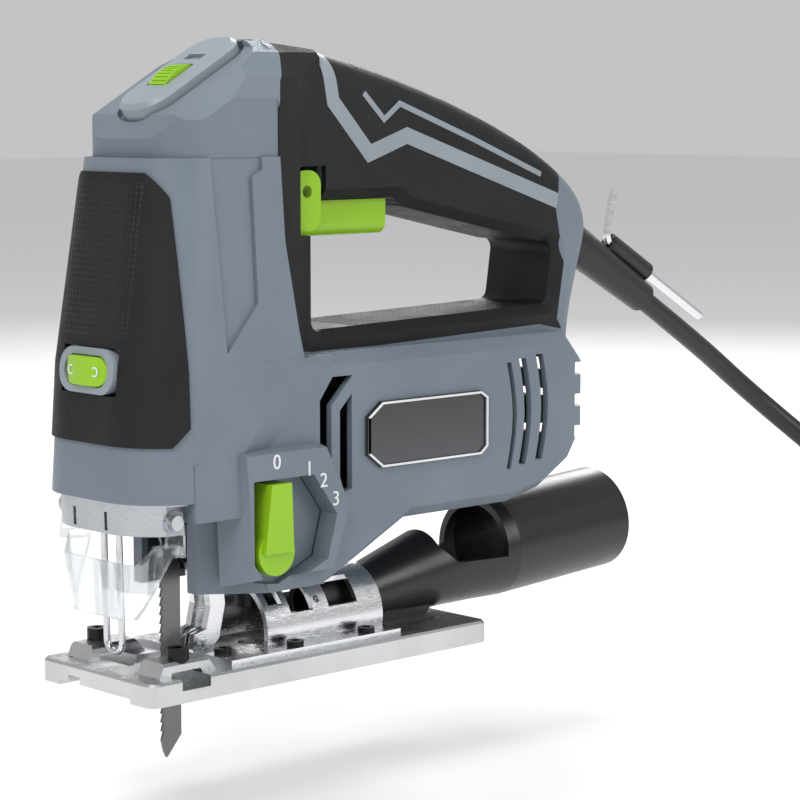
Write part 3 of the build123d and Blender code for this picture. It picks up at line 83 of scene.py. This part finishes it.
class JigsawSizes(bpy.types.PropertyGroup):
    knurl_pitch: FloatProperty(
        name="Knurl pitch", description="Distance between the bumps of the grip pattern", unit="LENGTH",
        default=0.0019, min=0.0005, max=0.01)
    stripe_width: FloatProperty(
        name="Stripe width", description="Width of the wide stripe on the handle", unit="LENGTH",
        default=0.0050, min=0.001, max=0.02)
    stripe_rise: FloatProperty(
        name="Stripe rise", description="Height of the handle stripes above the grip", unit="LENGTH",
        default=0.0003, min=0.0001, max=0.001)
    cord_length: FloatProperty(
        name="Cord length", description="Length of the power cord", unit="LENGTH",
        default=1.8, min=0.5, max=5.0)
    floor_depth: FloatProperty(
        name="Floor", description="Height of the floor below the sole plate", unit="LENGTH",
        default=-0.044, min=-0.5, max=0.0)


# ---------------------------------------------------------------- small tools
def clear_selection():
    if bpy.context.object and bpy.context.object.mode != "OBJECT":
        bpy.ops.object.mode_set(mode="OBJECT")
    bpy.ops.object.select_all(action="DESELECT")


def pick(piece):
    clear_selection()
    piece.select_set(True)
    bpy.context.view_layer.objects.active = piece


def name_piece(name):
    piece = bpy.context.object
    piece.name = name
    piece.data.name = name
    return piece


def settle(piece):
    """Moves a piece's place into its mesh."""
    pick(piece)
    bpy.ops.object.transform_apply(location=True, rotation=True, scale=True)
    return piece


def apply_modifier(piece, kind, **values):
    pick(piece)
    modifier = piece.modifiers.new(kind, kind)
    for key, value in values.items():
        setattr(modifier, key, value)
    bpy.ops.object.modifier_apply(modifier=modifier.name)


def smooth(piece, angle=35.0):
    """Smooth shading across edges flatter than the angle in degrees."""
    pick(piece)
    bpy.ops.object.shade_smooth_by_angle(angle=math.radians(angle))


def copy_node(node, name):
    """A merged copy of a CAD node's mesh as a piece of its own."""
    source = NODES[node]
    piece = bpy.data.objects.new(name, source.data.copy())
    bpy.context.collection.objects.link(piece)
    pick(piece)
    bpy.ops.object.mode_set(mode="EDIT")
    bpy.ops.mesh.select_all(action="SELECT")
    bpy.ops.mesh.remove_doubles(threshold=MERGE_DISTANCE)
    bpy.ops.object.mode_set(mode="OBJECT")
    piece.data.name = name
    return piece


def remove(piece):
    pick(piece)
    bpy.ops.object.delete()


def move_vertex(piece, index, place):
    """Moves one vertex to a place with the edit-mode move operator."""
    bpy.ops.mesh.select_all(action="DESELECT")
    bpy.ops.object.mode_set(mode="OBJECT")
    piece.data.vertices[index].select = True
    offset = Vector(place) - piece.data.vertices[index].co
    bpy.ops.object.mode_set(mode="EDIT")
    bpy.ops.transform.translate(value=offset)


def band(name, points, width):
    """Flat ribbon in the XZ plane along points in millimetres, its width to the left of the run."""
    count = len(points)
    clear_selection()
    bpy.ops.mesh.primitive_grid_add(x_subdivisions=count - 1, y_subdivisions=1, size=1.0)
    ribbon = name_piece(name)
    rows = sorted(ribbon.data.vertices, key=lambda vertex: (round(vertex.co.x, 4), vertex.co.y))
    order = [vertex.index for vertex in rows]
    sides = []
    for first, second in zip(points, points[1:]):
        run = Vector(second) - Vector(first)
        sides.append(Vector((-run.y, run.x)).normalized())
    bpy.ops.object.mode_set(mode="EDIT")
    bpy.ops.mesh.select_mode(type="VERT")
    for index, point in enumerate(points):
        before = sides[max(index - 1, 0)]
        after = sides[min(index, count - 2)]
        middle = (before + after).normalized()
        reach = width / max(middle.dot(after), MITRE_LIMIT)
        edge = Vector(point) + middle * reach
        move_vertex(ribbon, order[2 * index], (point[0] * MM, 0.0, point[1] * MM))
        move_vertex(ribbon, order[2 * index + 1], (edge.x * MM, 0.0, edge.y * MM))
    bpy.ops.object.mode_set(mode="OBJECT")
    return ribbon


def thicken(piece, thickness):
    apply_modifier(piece, "SOLIDIFY", thickness=thickness, offset=0.0)


def flat_text(name, words, size, place, turn, material, body, depth=0.0002):
    """Raised lettering made into a mesh."""
    clear_selection()
    bpy.ops.object.text_add()
    letter = bpy.context.object
    letter.data.body = words
    letter.data.size = size
    letter.data.extrude = depth
    letter.data.align_x = "CENTER"
    letter.data.align_y = "CENTER"
    bpy.ops.object.convert(target="MESH")
    letter = name_piece(name)
    letter.matrix_world = Matrix.Translation(place) @ turn
    settle(letter)
    finish_piece(letter, material, body)
    return letter


def finish_piece(piece, material, body):
    """Gives a piece its material and the body that it moves with."""
    piece.data.materials.clear()
    piece.data.materials.append(material)
    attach(piece, body)


# ---------------------------------------------------------------- finishes
class Finish:
    """A node material that is put together step by step."""

    def __init__(self, name, colour, roughness, metallic=0.0):
        self.material = bpy.data.materials.new(name)
        self.material.use_nodes = True
        self.tree = self.material.node_tree
        self.surface = self.tree.nodes["Principled BSDF"]
        self.surface.inputs["Base Color"].default_value = (*colour, 1.0)
        self.surface.inputs["Roughness"].default_value = roughness
        self.surface.inputs["Metallic"].default_value = metallic
        self.coords = self.tree.nodes.new("ShaderNodeTexCoord").outputs["Object"]
        self.height = None

    def link(self, a, b):
        self.tree.links.new(a, b)

    def noise(self, scale, detail=3.0, stretch=None):
        """Noise over the piece, drawn out along an axis where stretch says."""
        node = self.tree.nodes.new("ShaderNodeTexNoise")
        node.inputs["Scale"].default_value = scale
        node.inputs["Detail"].default_value = detail
        if stretch:
            mapping = self.tree.nodes.new("ShaderNodeMapping")
            mapping.inputs["Scale"].default_value = stretch
            self.link(self.coords, mapping.inputs["Vector"])
            self.link(mapping.outputs["Vector"], node.inputs["Vector"])
        else:
            self.link(self.coords, node.inputs["Vector"])
        return node.outputs["Fac"]

    def span(self, value, low, high, to_low=0.0, to_high=1.0):
        """Value moved from one range to another, clamped at both ends."""
        node = self.tree.nodes.new("ShaderNodeMapRange")
        node.inputs["From Min"].default_value = low
        node.inputs["From Max"].default_value = high
        node.inputs["To Min"].default_value = to_low
        node.inputs["To Max"].default_value = to_high
        self.link(value, node.inputs["Value"])
        return node.outputs["Result"]

    def math(self, kind, first, second=None):
        node = self.tree.nodes.new("ShaderNodeMath")
        node.operation = kind
        for value, socket in zip((first, second), node.inputs):
            if value is None:
                continue
            if isinstance(value, (int, float)):
                socket.default_value = value
            else:
                self.link(value, socket)
        return node.outputs[0]

    def axes(self):
        node = self.tree.nodes.new("ShaderNodeSeparateXYZ")
        self.link(self.coords, node.inputs[0])
        return node.outputs

    def within(self, value, low, high, soft=0.0006):
        """One between low and high and zero outside, with soft edges."""
        rise = self.span(value, low - soft, low + soft)
        fall = self.span(value, high - soft, high + soft, 1.0, 0.0)
        return self.math("MULTIPLY", rise, fall)

    def colours(self, factor, first, second):
        """Base colour that drifts between two colours."""
        node = self.tree.nodes.new("ShaderNodeMix")
        node.data_type = "RGBA"
        node.inputs["A"].default_value = (*first, 1.0)
        node.inputs["B"].default_value = (*second, 1.0)
        self.link(factor, node.inputs["Factor"])
        self.link(node.outputs["Result"], self.surface.inputs["Base Color"])

    def shine(self, factor, low, high):
        """Roughness that drifts between low and high."""
        self.link(self.span(factor, 0.3, 0.7, low, high), self.surface.inputs["Roughness"])

    def bump(self, height, distance, strength=1.0):
        """Adds a bump on top of those before it."""
        node = self.tree.nodes.new("ShaderNodeBump")
        node.inputs["Distance"].default_value = distance
        node.inputs["Strength"].default_value = strength
        self.link(height, node.inputs["Height"])
        if self.height is not None:
            self.link(self.height, node.inputs["Normal"])
        self.height = node.outputs["Normal"]
        self.link(self.height, self.surface.inputs["Normal"])


def shade(colour, factor):
    """The colour made darker or lighter."""
    return tuple(min(channel * factor, 1.0) for channel in colour)


def moulded_plastic(name, colour, roughness=0.42, grain=1500.0, depth=0.00008):
    """Moulded plastic with a fine grain."""
    finish = Finish(name, colour, roughness)
    tone = finish.noise(26.0, 2.0)
    finish.colours(finish.span(tone, 0.35, 0.65), shade(colour, 0.94), shade(colour, 1.05))
    finish.shine(finish.noise(60.0, 2.0), roughness - 0.04, roughness + 0.05)
    finish.bump(finish.noise(grain, 2.0), depth)
    return finish


def worn_metal(name, colour, roughness, stretch, depth=0.00004, scale=400.0):
    """Metal with streaks along its working direction."""
    finish = Finish(name, colour, roughness, 1.0)
    streak = finish.noise(scale, 3.0, stretch)
    finish.colours(finish.span(streak, 0.3, 0.7), shade(colour, 0.88), shade(colour, 1.06))
    finish.shine(streak, roughness - 0.06, roughness + 0.10)
    finish.bump(streak, depth)
    return finish


def cast_metal(name, colour, roughness):
    """Cast metal with a faint mottle."""
    finish = Finish(name, colour, roughness, 1.0)
    tone = finish.noise(40.0, 4.0)
    finish.colours(finish.span(tone, 0.3, 0.7), shade(colour, 0.9), shade(colour, 1.05))
    finish.shine(finish.noise(160.0, 3.0), roughness - 0.07, roughness + 0.09)
    finish.bump(finish.noise(900.0, 4.0), 0.00012)
    return finish


def knurled_rubber(name, colour, pitch, first, second, mask):
    """Fine-grained rubber with rows of small bumps where the mask allows."""
    finish = Finish(name, colour, 0.55)
    finish.surface.inputs["Specular IOR Level"].default_value = 0.32
    tone = finish.noise(30.0, 2.0)
    finish.colours(finish.span(tone, 0.35, 0.65), shade(colour, 0.85), shade(colour, 1.25))
    finish.shine(finish.noise(80.0), 0.48, 0.62)
    finish.bump(finish.noise(1400.0, 2.0), 0.00010)
    axes = finish.axes()
    waves = []
    for axis in (first, second):
        turn = finish.math("MULTIPLY", axes[axis], math.pi / pitch)
        waves.append(finish.math("ABSOLUTE", finish.math("SINE", turn)))
    bumps = finish.math("MULTIPLY", waves[0], waves[1])
    bumps = finish.math("POWER", bumps, 0.6)
    finish.bump(finish.math("MULTIPLY", bumps, mask(finish, axes)), 0.0007, 0.9)
    return finish


def pad_mask(finish, axes):
    """The middle field of the front pad."""
    across = finish.within(axes["Y"], -0.0165, 0.0165)
    return finish.math("MULTIPLY", across, finish.within(axes["Z"], 0.1165, 0.164))


def crown_mask(finish, axes):
    """The top of the handle."""
    across = finish.within(axes["Y"], -0.0150, 0.0150)
    return finish.math("MULTIPLY", across, finish.within(axes["X"], 0.040, 0.128))


PALETTE = {}


def finishes():
    """Every finish by the record's slot name, made once."""
    if PALETTE:
        return PALETTE
    look = bpy.context.scene.jigsaw_finishes
    pitch = bpy.context.scene.jigsaw_sizes.knurl_pitch
    shell = tuple(look.shell_colour)
    grip = tuple(look.grip_colour)
    green = tuple(look.control_colour)
    plate = tuple(look.plate_colour)
    PALETTE["grey_shell"] = moulded_plastic("Grey Shell", shell, 0.40)
    PALETTE["grey_trim"] = moulded_plastic("Pale Trim", tuple(look.trim_colour), 0.38)
    PALETTE["black_grip"] = knurled_rubber("Handle Grip", grip, pitch, "X", "Y", crown_mask)
    PALETTE["pad_grip"] = knurled_rubber("Front Pad", grip, pitch, "Y", "Z", pad_mask)
    PALETTE["green_plastic"] = moulded_plastic("Green Control", green, 0.33, 1800.0, 0.00004)
    PALETTE["black_plastic"] = moulded_plastic("Black Plastic", (0.010, 0.010, 0.011), 0.30, 1600.0, 0.00004)
    PALETTE["black_rubber"] = moulded_plastic("Cord Rubber", (0.009, 0.009, 0.010), 0.36, 1400.0, 0.00005)
    label = Finish("Label Gloss With Painted Sheen", (0.012, 0.013, 0.016), 0.16)
    label.surface.inputs["Coat Weight"].default_value = 0.6
    # Painted sheen: the black label is painted lighter at the bottom and darker towards the top, a painted
    # reflection rather than a colour of its own.
    label.colours(label.span(label.axes()["Z"], 0.066, 0.092), (0.035, 0.038, 0.045), (0.008, 0.008, 0.010))
    label.bump(label.noise(90.0, 2.0), 0.00002)
    PALETTE["label"] = label
    PALETTE["bright_cast"] = cast_metal("Silver Collar", (0.50, 0.52, 0.55), 0.36)
    PALETTE["cast_plate"] = cast_metal("Cast Plate", plate, 0.30)
    PALETTE["cast_case"] = cast_metal("Gear Case", (0.45, 0.46, 0.48), 0.45)
    PALETTE["sintered"] = cast_metal("Sintered Iron", (0.16, 0.16, 0.17), 0.55)
    PALETTE["pressed_steel"] = worn_metal("Zinc Plate", (0.78, 0.79, 0.81), 0.20, (1.0, 1.0, 8.0), 0.00002)
    PALETTE["steel"] = worn_metal("Ground Steel", (0.56, 0.57, 0.58), 0.24, (1.0, 1.0, 10.0), 0.00002)
    PALETTE["dark_steel"] = worn_metal("Dark Steel", (0.055, 0.055, 0.060), 0.34, (1.0, 1.0, 4.0))
    PALETTE["dark_screws"] = worn_metal("Black Oxide", (0.030, 0.030, 0.033), 0.36, (3.0, 3.0, 1.0))
    PALETTE["spring_steel"] = worn_metal("Bright Wire", (0.66, 0.67, 0.69), 0.20, (1.0, 1.0, 6.0), 0.00001)
    PALETTE["blade_steel"] = worn_metal("Blade Steel", (0.20, 0.19, 0.19), 0.32, (1.0, 1.0, 12.0), 0.00002)
    PALETTE["bronze"] = worn_metal("Oiled Bronze", (0.50, 0.33, 0.13), 0.36, (1.0, 1.0, 5.0))
    PALETTE["copper"] = worn_metal(
        "Enamelled Copper", (0.62, 0.24, 0.10), 0.28, (20.0, 1.0, 1.0), depth=0.0002, scale=300.0)
    PALETTE["laminations"] = worn_metal(
        "Laminations", (0.17, 0.17, 0.18), 0.42, (30.0, 0.2, 0.2), depth=0.0002, scale=90.0)
    PALETTE["carbon"] = moulded_plastic("Pressed Carbon", (0.02, 0.02, 0.02), 0.6, 900.0)
    PALETTE["pale_print"] = moulded_plastic("Pale Print", (0.72, 0.74, 0.76), 0.45, 1200.0, 0.00002)
    board = Finish("Circuit Board", (0.02, 0.11, 0.04), 0.4)
    board.colours(board.span(board.noise(700.0, 1.0), 0.45, 0.55), (0.02, 0.11, 0.04), (0.03, 0.16, 0.06))
    board.bump(board.noise(500.0, 1.0), 0.0001)
    PALETTE["board"] = board
    lamp = Finish("Frosted Lamp", (0.85, 0.88, 0.92), 0.35)
    lamp.surface.inputs["Transmission Weight"].default_value = 0.4
    lamp.bump(lamp.noise(900.0, 2.0), 0.0001)
    PALETTE["lamp"] = lamp
    clear = Finish("Clear Guard", (0.80, 0.84, 0.87), 0.08)
    clear.surface.inputs["Transmission Weight"].default_value = 1.0
    clear.surface.inputs["IOR"].default_value = 1.35
    clear.surface.inputs["Alpha"].default_value = 0.55
    clear.bump(clear.noise(30.0, 1.0), 0.0002, 0.3)
    PALETTE["clear"] = clear
    return PALETTE


# ---------------------------------------------------------------- operators
class JIGSAW_OT_materials(bpy.types.Operator):
    """Gives every carried-over part its finish"""
    bl_idname = "jigsaw.materials"
    bl_label = "Finishes of the parts"

    def execute(self, context):
        palette = finishes()
        slots = {entry["node"]: entry["material_slot"] for entry in frame["record"]["subparts"]}
        for node, piece in NODES.items():
            name = "pad_grip" if node == "front_grip_pad" else slots[node]
            piece.data.materials.clear()
            piece.data.materials.append(palette[name].material)
            smooth(piece, 30.0)
        return {"FINISHED"}


# Upper edge of each stripe in side view, in millimetres along X and Z.
WIDE_STRIPE = [
    (21.0, 215.0), (21.5, 204.0), (24.5, 188.3), (42.4, 169.2), (60.5, 175.3), (97.0, 163.4), (137.0, 150.4),
]
NARROW_STRIPE = [(40.2, 191.6), (49.8, 182.5), (57.2, 187.9), (92.0, 175.6), (126.1, 162.7)]
NARROW_STRIPE_WIDTH = 1.5
CUTTER_DEPTH = 0.08


class JIGSAW_OT_stripes(bpy.types.Operator):
    """Lays the wide and the narrow pale stripes round the handle"""
    bl_idname = "jigsaw.stripes"
    bl_label = "Handle stripes"

    def execute(self, context):
        sizes = context.scene.jigsaw_sizes
        runs = (
            ("wide", WIDE_STRIPE, sizes.stripe_width / MM), ("narrow", NARROW_STRIPE, NARROW_STRIPE_WIDTH))
        for label, points, width in runs:
            cutter = band("stripe_cutter", points, width)
            thicken(cutter, CUTTER_DEPTH)
            for side in ("left", "right"):
                stripe = copy_node("grip_overmould_" + side, label + "_stripe_" + side)
                apply_modifier(stripe, "BOOLEAN", operation="INTERSECT", object=cutter, solver="EXACT")
                apply_modifier(stripe, "DISPLACE", strength=sizes.stripe_rise, mid_level=0.0)
                smooth(stripe, 35.0)
                finish_piece(stripe, finishes()["grey_trim"].material, "housing")
            remove(cutter)
        return {"FINISHED"}


LABEL_OUTLINE = [
    (31.6, 72.6), (31.6, 84.6), (37.4, 88.8), (83.6, 88.8),
    (86.4, 87.0), (86.4, 70.4), (83.6, 68.2), (37.4, 68.2),
]
LABEL_FACE = 0.0321
LABEL_LINE_WIDTH = 0.7
LABEL_LINE_DEPTH = 0.0004
LEVER_PIVOT = (-13.0, 45.0)
LEVER_MARKS = (("0", 0.0), ("1", 28.0), ("2", 43.0), ("3", 59.5))
LEVER_MARK_REACH = 29.4
LEVER_MARK_HEIGHT = 0.0068
BEZEL_FACE = 0.0361
DIAL_RIBS = 48
DIAL_RIB_SIZE = (0.0006, 0.0070, 0.0007)
ROCKER_FRONT_X = -0.0635
ROCKER_DISH_RADIUS = 0.0240
LAMP_SIGN_REACH = 0.0062
LAMP_SIGN_RADIUS = 0.0014
SIDE_TURN = Matrix.Rotation(math.radians(90.0), 4, "X")


def closed_line(name, outline, width):
    """Thin flat frame that follows a closed outline in the XZ plane."""
    return band(name, outline + outline[:2], width)


class JIGSAW_OT_labels(bpy.types.Operator):
    """Frames both blank label plates with a thin pale line"""
    bl_idname = "jigsaw.labels"
    bl_label = "Label frames"

    def execute(self, context):
        for name, side in (("left", -1.0), ("right", 1.0)):
            rim = closed_line("label_frame_" + name, LABEL_OUTLINE, LABEL_LINE_WIDTH)
            thicken(rim, LABEL_LINE_DEPTH)
            rim.location = (0.0, side * LABEL_FACE, 0.0)
            settle(rim)
            finish_piece(rim, finishes()["pale_print"].material, "housing")
        return {"FINISHED"}


class JIGSAW_OT_lever_marks(bpy.types.Operator):
    """Prints the four settings of the orbital lever round its pivot"""
    bl_idname = "jigsaw.lever_marks"
    bl_label = "Lever settings"

    def execute(self, context):
        for words, turn in LEVER_MARKS:
            angle = math.radians(turn)
            place = Vector((
                (LEVER_PIVOT[0] + LEVER_MARK_REACH * math.sin(angle)) * MM, -BEZEL_FACE,
                (LEVER_PIVOT[1] + LEVER_MARK_REACH * math.cos(angle)) * MM))
            flat_text(
                "lever_mark_" + words, words, LEVER_MARK_HEIGHT, place, SIDE_TURN,
                finishes()["pale_print"].material, "housing")
        return {"FINISHED"}


class JIGSAW_OT_dial_marks(bpy.types.Operator):
    """Adds the ribs round the rim of the speed dial wheel"""
    bl_idname = "jigsaw.dial_marks"
    bl_label = "Speed dial marks"

    def execute(self, context):
        low, high = (Vector(corner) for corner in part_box("speed_dial_wheel"))
        centre = (low + high) / 2
        radius = (high.x - low.x) / 2
        ribs = []
        for index in range(DIAL_RIBS):
            angle = 2 * math.pi * index / DIAL_RIBS
            clear_selection()
            bpy.ops.mesh.primitive_cube_add(size=1.0)
            rib = bpy.context.object
            rib.scale = DIAL_RIB_SIZE
            rib.rotation_euler = (0.0, math.pi / 2 - angle, 0.0)
            rib.location = centre + Vector((math.cos(angle), 0.0, math.sin(angle))) * radius
            settle(rib)
            ribs.append(rib)
        clear_selection()
        for rib in ribs:
            rib.select_set(True)
        bpy.context.view_layer.objects.active = ribs[0]
        bpy.ops.object.join()
        wheel_ribs = name_piece("speed_dial_ribs")
        apply_modifier(wheel_ribs, "BEVEL", width=0.0001, segments=1)
        finish_piece(wheel_ribs, finishes()["green_plastic"].material, "dial")
        return {"FINISHED"}


class JIGSAW_OT_rocker_marks(bpy.types.Operator):
    """Adds the two lamp signs on the rocker"""
    bl_idname = "jigsaw.rocker_marks"
    bl_label = "Rocker marks"

    def execute(self, context):
        palette = finishes()
        low, high = (Vector(corner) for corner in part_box("lamp_rocker"))
        middle = (low.z + high.z) / 2
        for name, place_y in (("on", -LAMP_SIGN_REACH), ("off", LAMP_SIGN_REACH)):
            clear_selection()
            bpy.ops.mesh.primitive_torus_add(
                major_radius=LAMP_SIGN_RADIUS, minor_radius=0.00028, major_segments=32, minor_segments=8,
                rotation=(0.0, math.pi / 2, 0.0))
            ring = name_piece("lamp_sign_" + name)
            depth = ROCKER_DISH_RADIUS - math.sqrt(ROCKER_DISH_RADIUS ** 2 - place_y ** 2)
            ring.location = (ROCKER_FRONT_X + depth, place_y, middle)
            settle(ring)
            finish_piece(ring, palette["pale_print"].material, "rocker")
        return {"FINISHED"}


ROUTE = [
    (0.137876, 0.0, 0.1515), (0.226210, 0.0, 0.1005), (0.2694, 0.0, 0.0718), (0.2948, -0.0245, 0.0427),
    (0.329204, -0.053315, 0.0013), (0.364013, -0.064625, -0.0155),
]
COIL_CENTRE = (0.379, -0.0185)
# Radius and height of each turn's seat, from the top of the coil to the floor.
COIL_SLOTS = [
    (0.0485, -0.0238), (0.0404, -0.0238), (0.0404, -0.0319),
    (0.0485, -0.0319), (0.0485, -0.040), (0.0404, -0.040),
]
COIL_POINTS = 132
COIL_FULL_TURNS = 5
LANDING_RISE = 0.0083
LANDING_TURN = 75.0
COIL_START = -108.0
TAIL_START = -24.9
TAIL_RADIUS = 0.019
TAIL_STRETCH = 1.01
TAIL_STEPS = (20.0, 40.0, 60.0, 80.0, 100.0)
PLUG_OFFSET = 0.010
CORD_DIAMETER = 0.008


def coil_points():
    """Points of the neat coil and of the tail inside it.

    Each turn leaves its seat for the next one just before the turn after it comes round.
    """
    points = []
    total = COIL_FULL_TURNS * 360.0 + TAIL_START - COIL_START
    cover = total / len(COIL_SLOTS)
    handover = 360.0 - cover
    last = len(COIL_SLOTS) - 1
    step = total / COIL_POINTS
    stretch = 1.0 / (0.75 + 0.25 * math.cos(math.radians(step)))
    for index in range(1, COIL_POINTS + 1):
        along = min(index * step, total - 0.001)
        slot, local = divmod(along, cover)
        slot = int(slot)
        radius, height = COIL_SLOTS[slot]
        if local > cover - handover and slot < last:
            part = (local - cover + handover) / handover
            radius += (COIL_SLOTS[slot + 1][0] - radius) * part
            height += (COIL_SLOTS[slot + 1][1] - height) * part
        height += LANDING_RISE * max(0.0, 1.0 - along / LANDING_TURN)
        angle = math.radians(COIL_START + along)
        points.append((
            COIL_CENTRE[0] + radius * stretch * math.cos(angle),
            COIL_CENTRE[1] + radius * stretch * math.sin(angle), height))
    start = math.radians(TAIL_START)
    floor_height = COIL_SLOTS[last][1]
    reach = COIL_SLOTS[last][0] - TAIL_RADIUS
    middle = (COIL_CENTRE[0] + reach * math.cos(start), COIL_CENTRE[1] + reach * math.sin(start))
    bend = TAIL_RADIUS * TAIL_STRETCH
    for turn in TAIL_STEPS:
        angle = start + math.radians(turn)
        points.append((middle[0] + bend * math.cos(angle), middle[1] + bend * math.sin(angle), floor_height))
    for ahead in (0.0215, 0.017):
        points.append((COIL_CENTRE[0] + ahead, COIL_CENTRE[1] + PLUG_OFFSET, floor_height))
    return points


class JIGSAW_OT_cord(bpy.types.Operator):
    """Lays the power cord, from the strain relief to its coil and plug"""
    bl_idname = "jigsaw.cord"
    bl_label = "Power cord"

    def execute(self, context):
        curve = bpy.data.curves.new("cord", "CURVE")
        curve.dimensions = "3D"
        curve.resolution_u = 8
        curve.bevel_depth = CORD_DIAMETER / 2
        curve.bevel_resolution = 5
        curve.use_fill_caps = True
        spline = curve.splines.new("NURBS")
        points = ROUTE + coil_points()
        spline.points.add(len(points) - 1)
        for target, place in zip(spline.points, points):
            target.co = (*place, 1.0)
        spline.order_u = 3
        spline.use_endpoint_u = True
        cord = bpy.data.objects.new("cord", curve)
        context.collection.objects.link(cord)
        cord.data.materials.append(finishes()["black_rubber"].material)
        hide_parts("power_cord", "cord_coil")
        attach(cord, "housing")
        return {"FINISHED"}


FLOOR_SIZE = 14.0
SKY_STRENGTH = 0.55
LIGHT_AIM = Vector((0.05, 0.0, 0.09))
# Name, place, size and power of each soft lamp.
LIGHTS = (
    ("key", (-0.9, -0.5, 1.1), 0.6, 9.0),
    ("front", (0.6, -1.4, 0.8), 0.7, 6.0),
    ("top", (0.1, 0.2, 1.5), 0.8, 9.0),
    ("rim", (1.1, 0.9, 0.8), 0.6, 8.0),
)
CAMERA_PLACE = (-0.54295, -0.6579, 0.19245)
CAMERA_AIM = Vector((0.6798, 0.7236, -0.1189))
CAMERA_LENS = 115.55
CAMERA_SENSOR = 36.0


class JIGSAW_OT_stage(bpy.types.Operator):
    """Sets up the floor, the soft lights and the camera"""
    bl_idname = "jigsaw.stage"
    bl_label = "Stage"

    def execute(self, context):
        depth = context.scene.jigsaw_sizes.floor_depth
        clear_selection()
        bpy.ops.mesh.primitive_plane_add(size=FLOOR_SIZE, location=(0.0, 0.0, depth))
        floor = settle(name_piece("floor"))
        paint = Finish("Pale Floor", (0.90, 0.90, 0.90), 0.7)
        paint.bump(paint.noise(60.0), 0.0002)
        floor.data.materials.append(paint.material)
        world = bpy.data.worlds.new("Soft Studio")
        context.scene.world = world
        world.use_nodes = True
        sky = world.node_tree.nodes["Background"]
        sky.inputs["Color"].default_value = (1.0, 1.0, 1.0, 1.0)
        sky.inputs["Strength"].default_value = SKY_STRENGTH
        for name, place, size, power in LIGHTS:
            bpy.ops.object.light_add(type="AREA", location=place)
            lamp = name_piece(name)
            lamp.data.size = size
            lamp.data.energy = power
            aim = LIGHT_AIM - Vector(place)
            lamp.rotation_euler = aim.to_track_quat("-Z", "Y").to_euler()
        camera = bpy.data.objects.new("camera", bpy.data.cameras.new("camera"))
        context.collection.objects.link(camera)
        camera.data.lens = CAMERA_LENS
        camera.data.sensor_width = CAMERA_SENSOR
        camera.data.clip_start = 0.05
        camera.data.clip_end = 20.0
        camera.location = CAMERA_PLACE
        camera.rotation_euler = CAMERA_AIM.to_track_quat("-Z", "Y").to_euler()
        context.scene.camera = camera
        context.scene.view_settings.view_transform = "Standard"
        return {"FINISHED"}


STEPS = [
    JIGSAW_OT_materials, JIGSAW_OT_stripes, JIGSAW_OT_labels, JIGSAW_OT_lever_marks, JIGSAW_OT_dial_marks,
    JIGSAW_OT_rocker_marks, JIGSAW_OT_cord, JIGSAW_OT_stage,
]


class JIGSAW_PT_panel(bpy.types.Panel):
    """Sizes, colours and building steps of the jigsaw"""
    bl_idname = "JIGSAW_PT_panel"
    bl_label = "Jigsaw"
    bl_space_type = "VIEW_3D"
    bl_region_type = "UI"
    bl_category = "Jigsaw"

    def draw(self, context):
        for group in (context.scene.jigsaw_finishes, context.scene.jigsaw_sizes):
            for name in group.bl_rna.properties.keys():
                if name not in ("rna_type", "name"):
                    self.layout.prop(group, name)
        for step in STEPS:
            self.layout.operator(step.bl_idname)


CLASSES = [JigsawFinishes, JigsawSizes] + STEPS + [JIGSAW_PT_panel]


def register():
    for cls in CLASSES:
        bpy.utils.register_class(cls)
    bpy.types.Scene.jigsaw_finishes = bpy.props.PointerProperty(type=JigsawFinishes)
    bpy.types.Scene.jigsaw_sizes = bpy.props.PointerProperty(type=JigsawSizes)


def unregister():
    del bpy.types.Scene.jigsaw_sizes
    del bpy.types.Scene.jigsaw_finishes
    for cls in reversed(CLASSES):
        bpy.utils.unregister_class(cls)


def main():
    register()
    for step in STEPS:
        group, name = step.bl_idname.split(".")
        getattr(getattr(bpy.ops, group), name)()


if __name__ == "__main__":
    main()
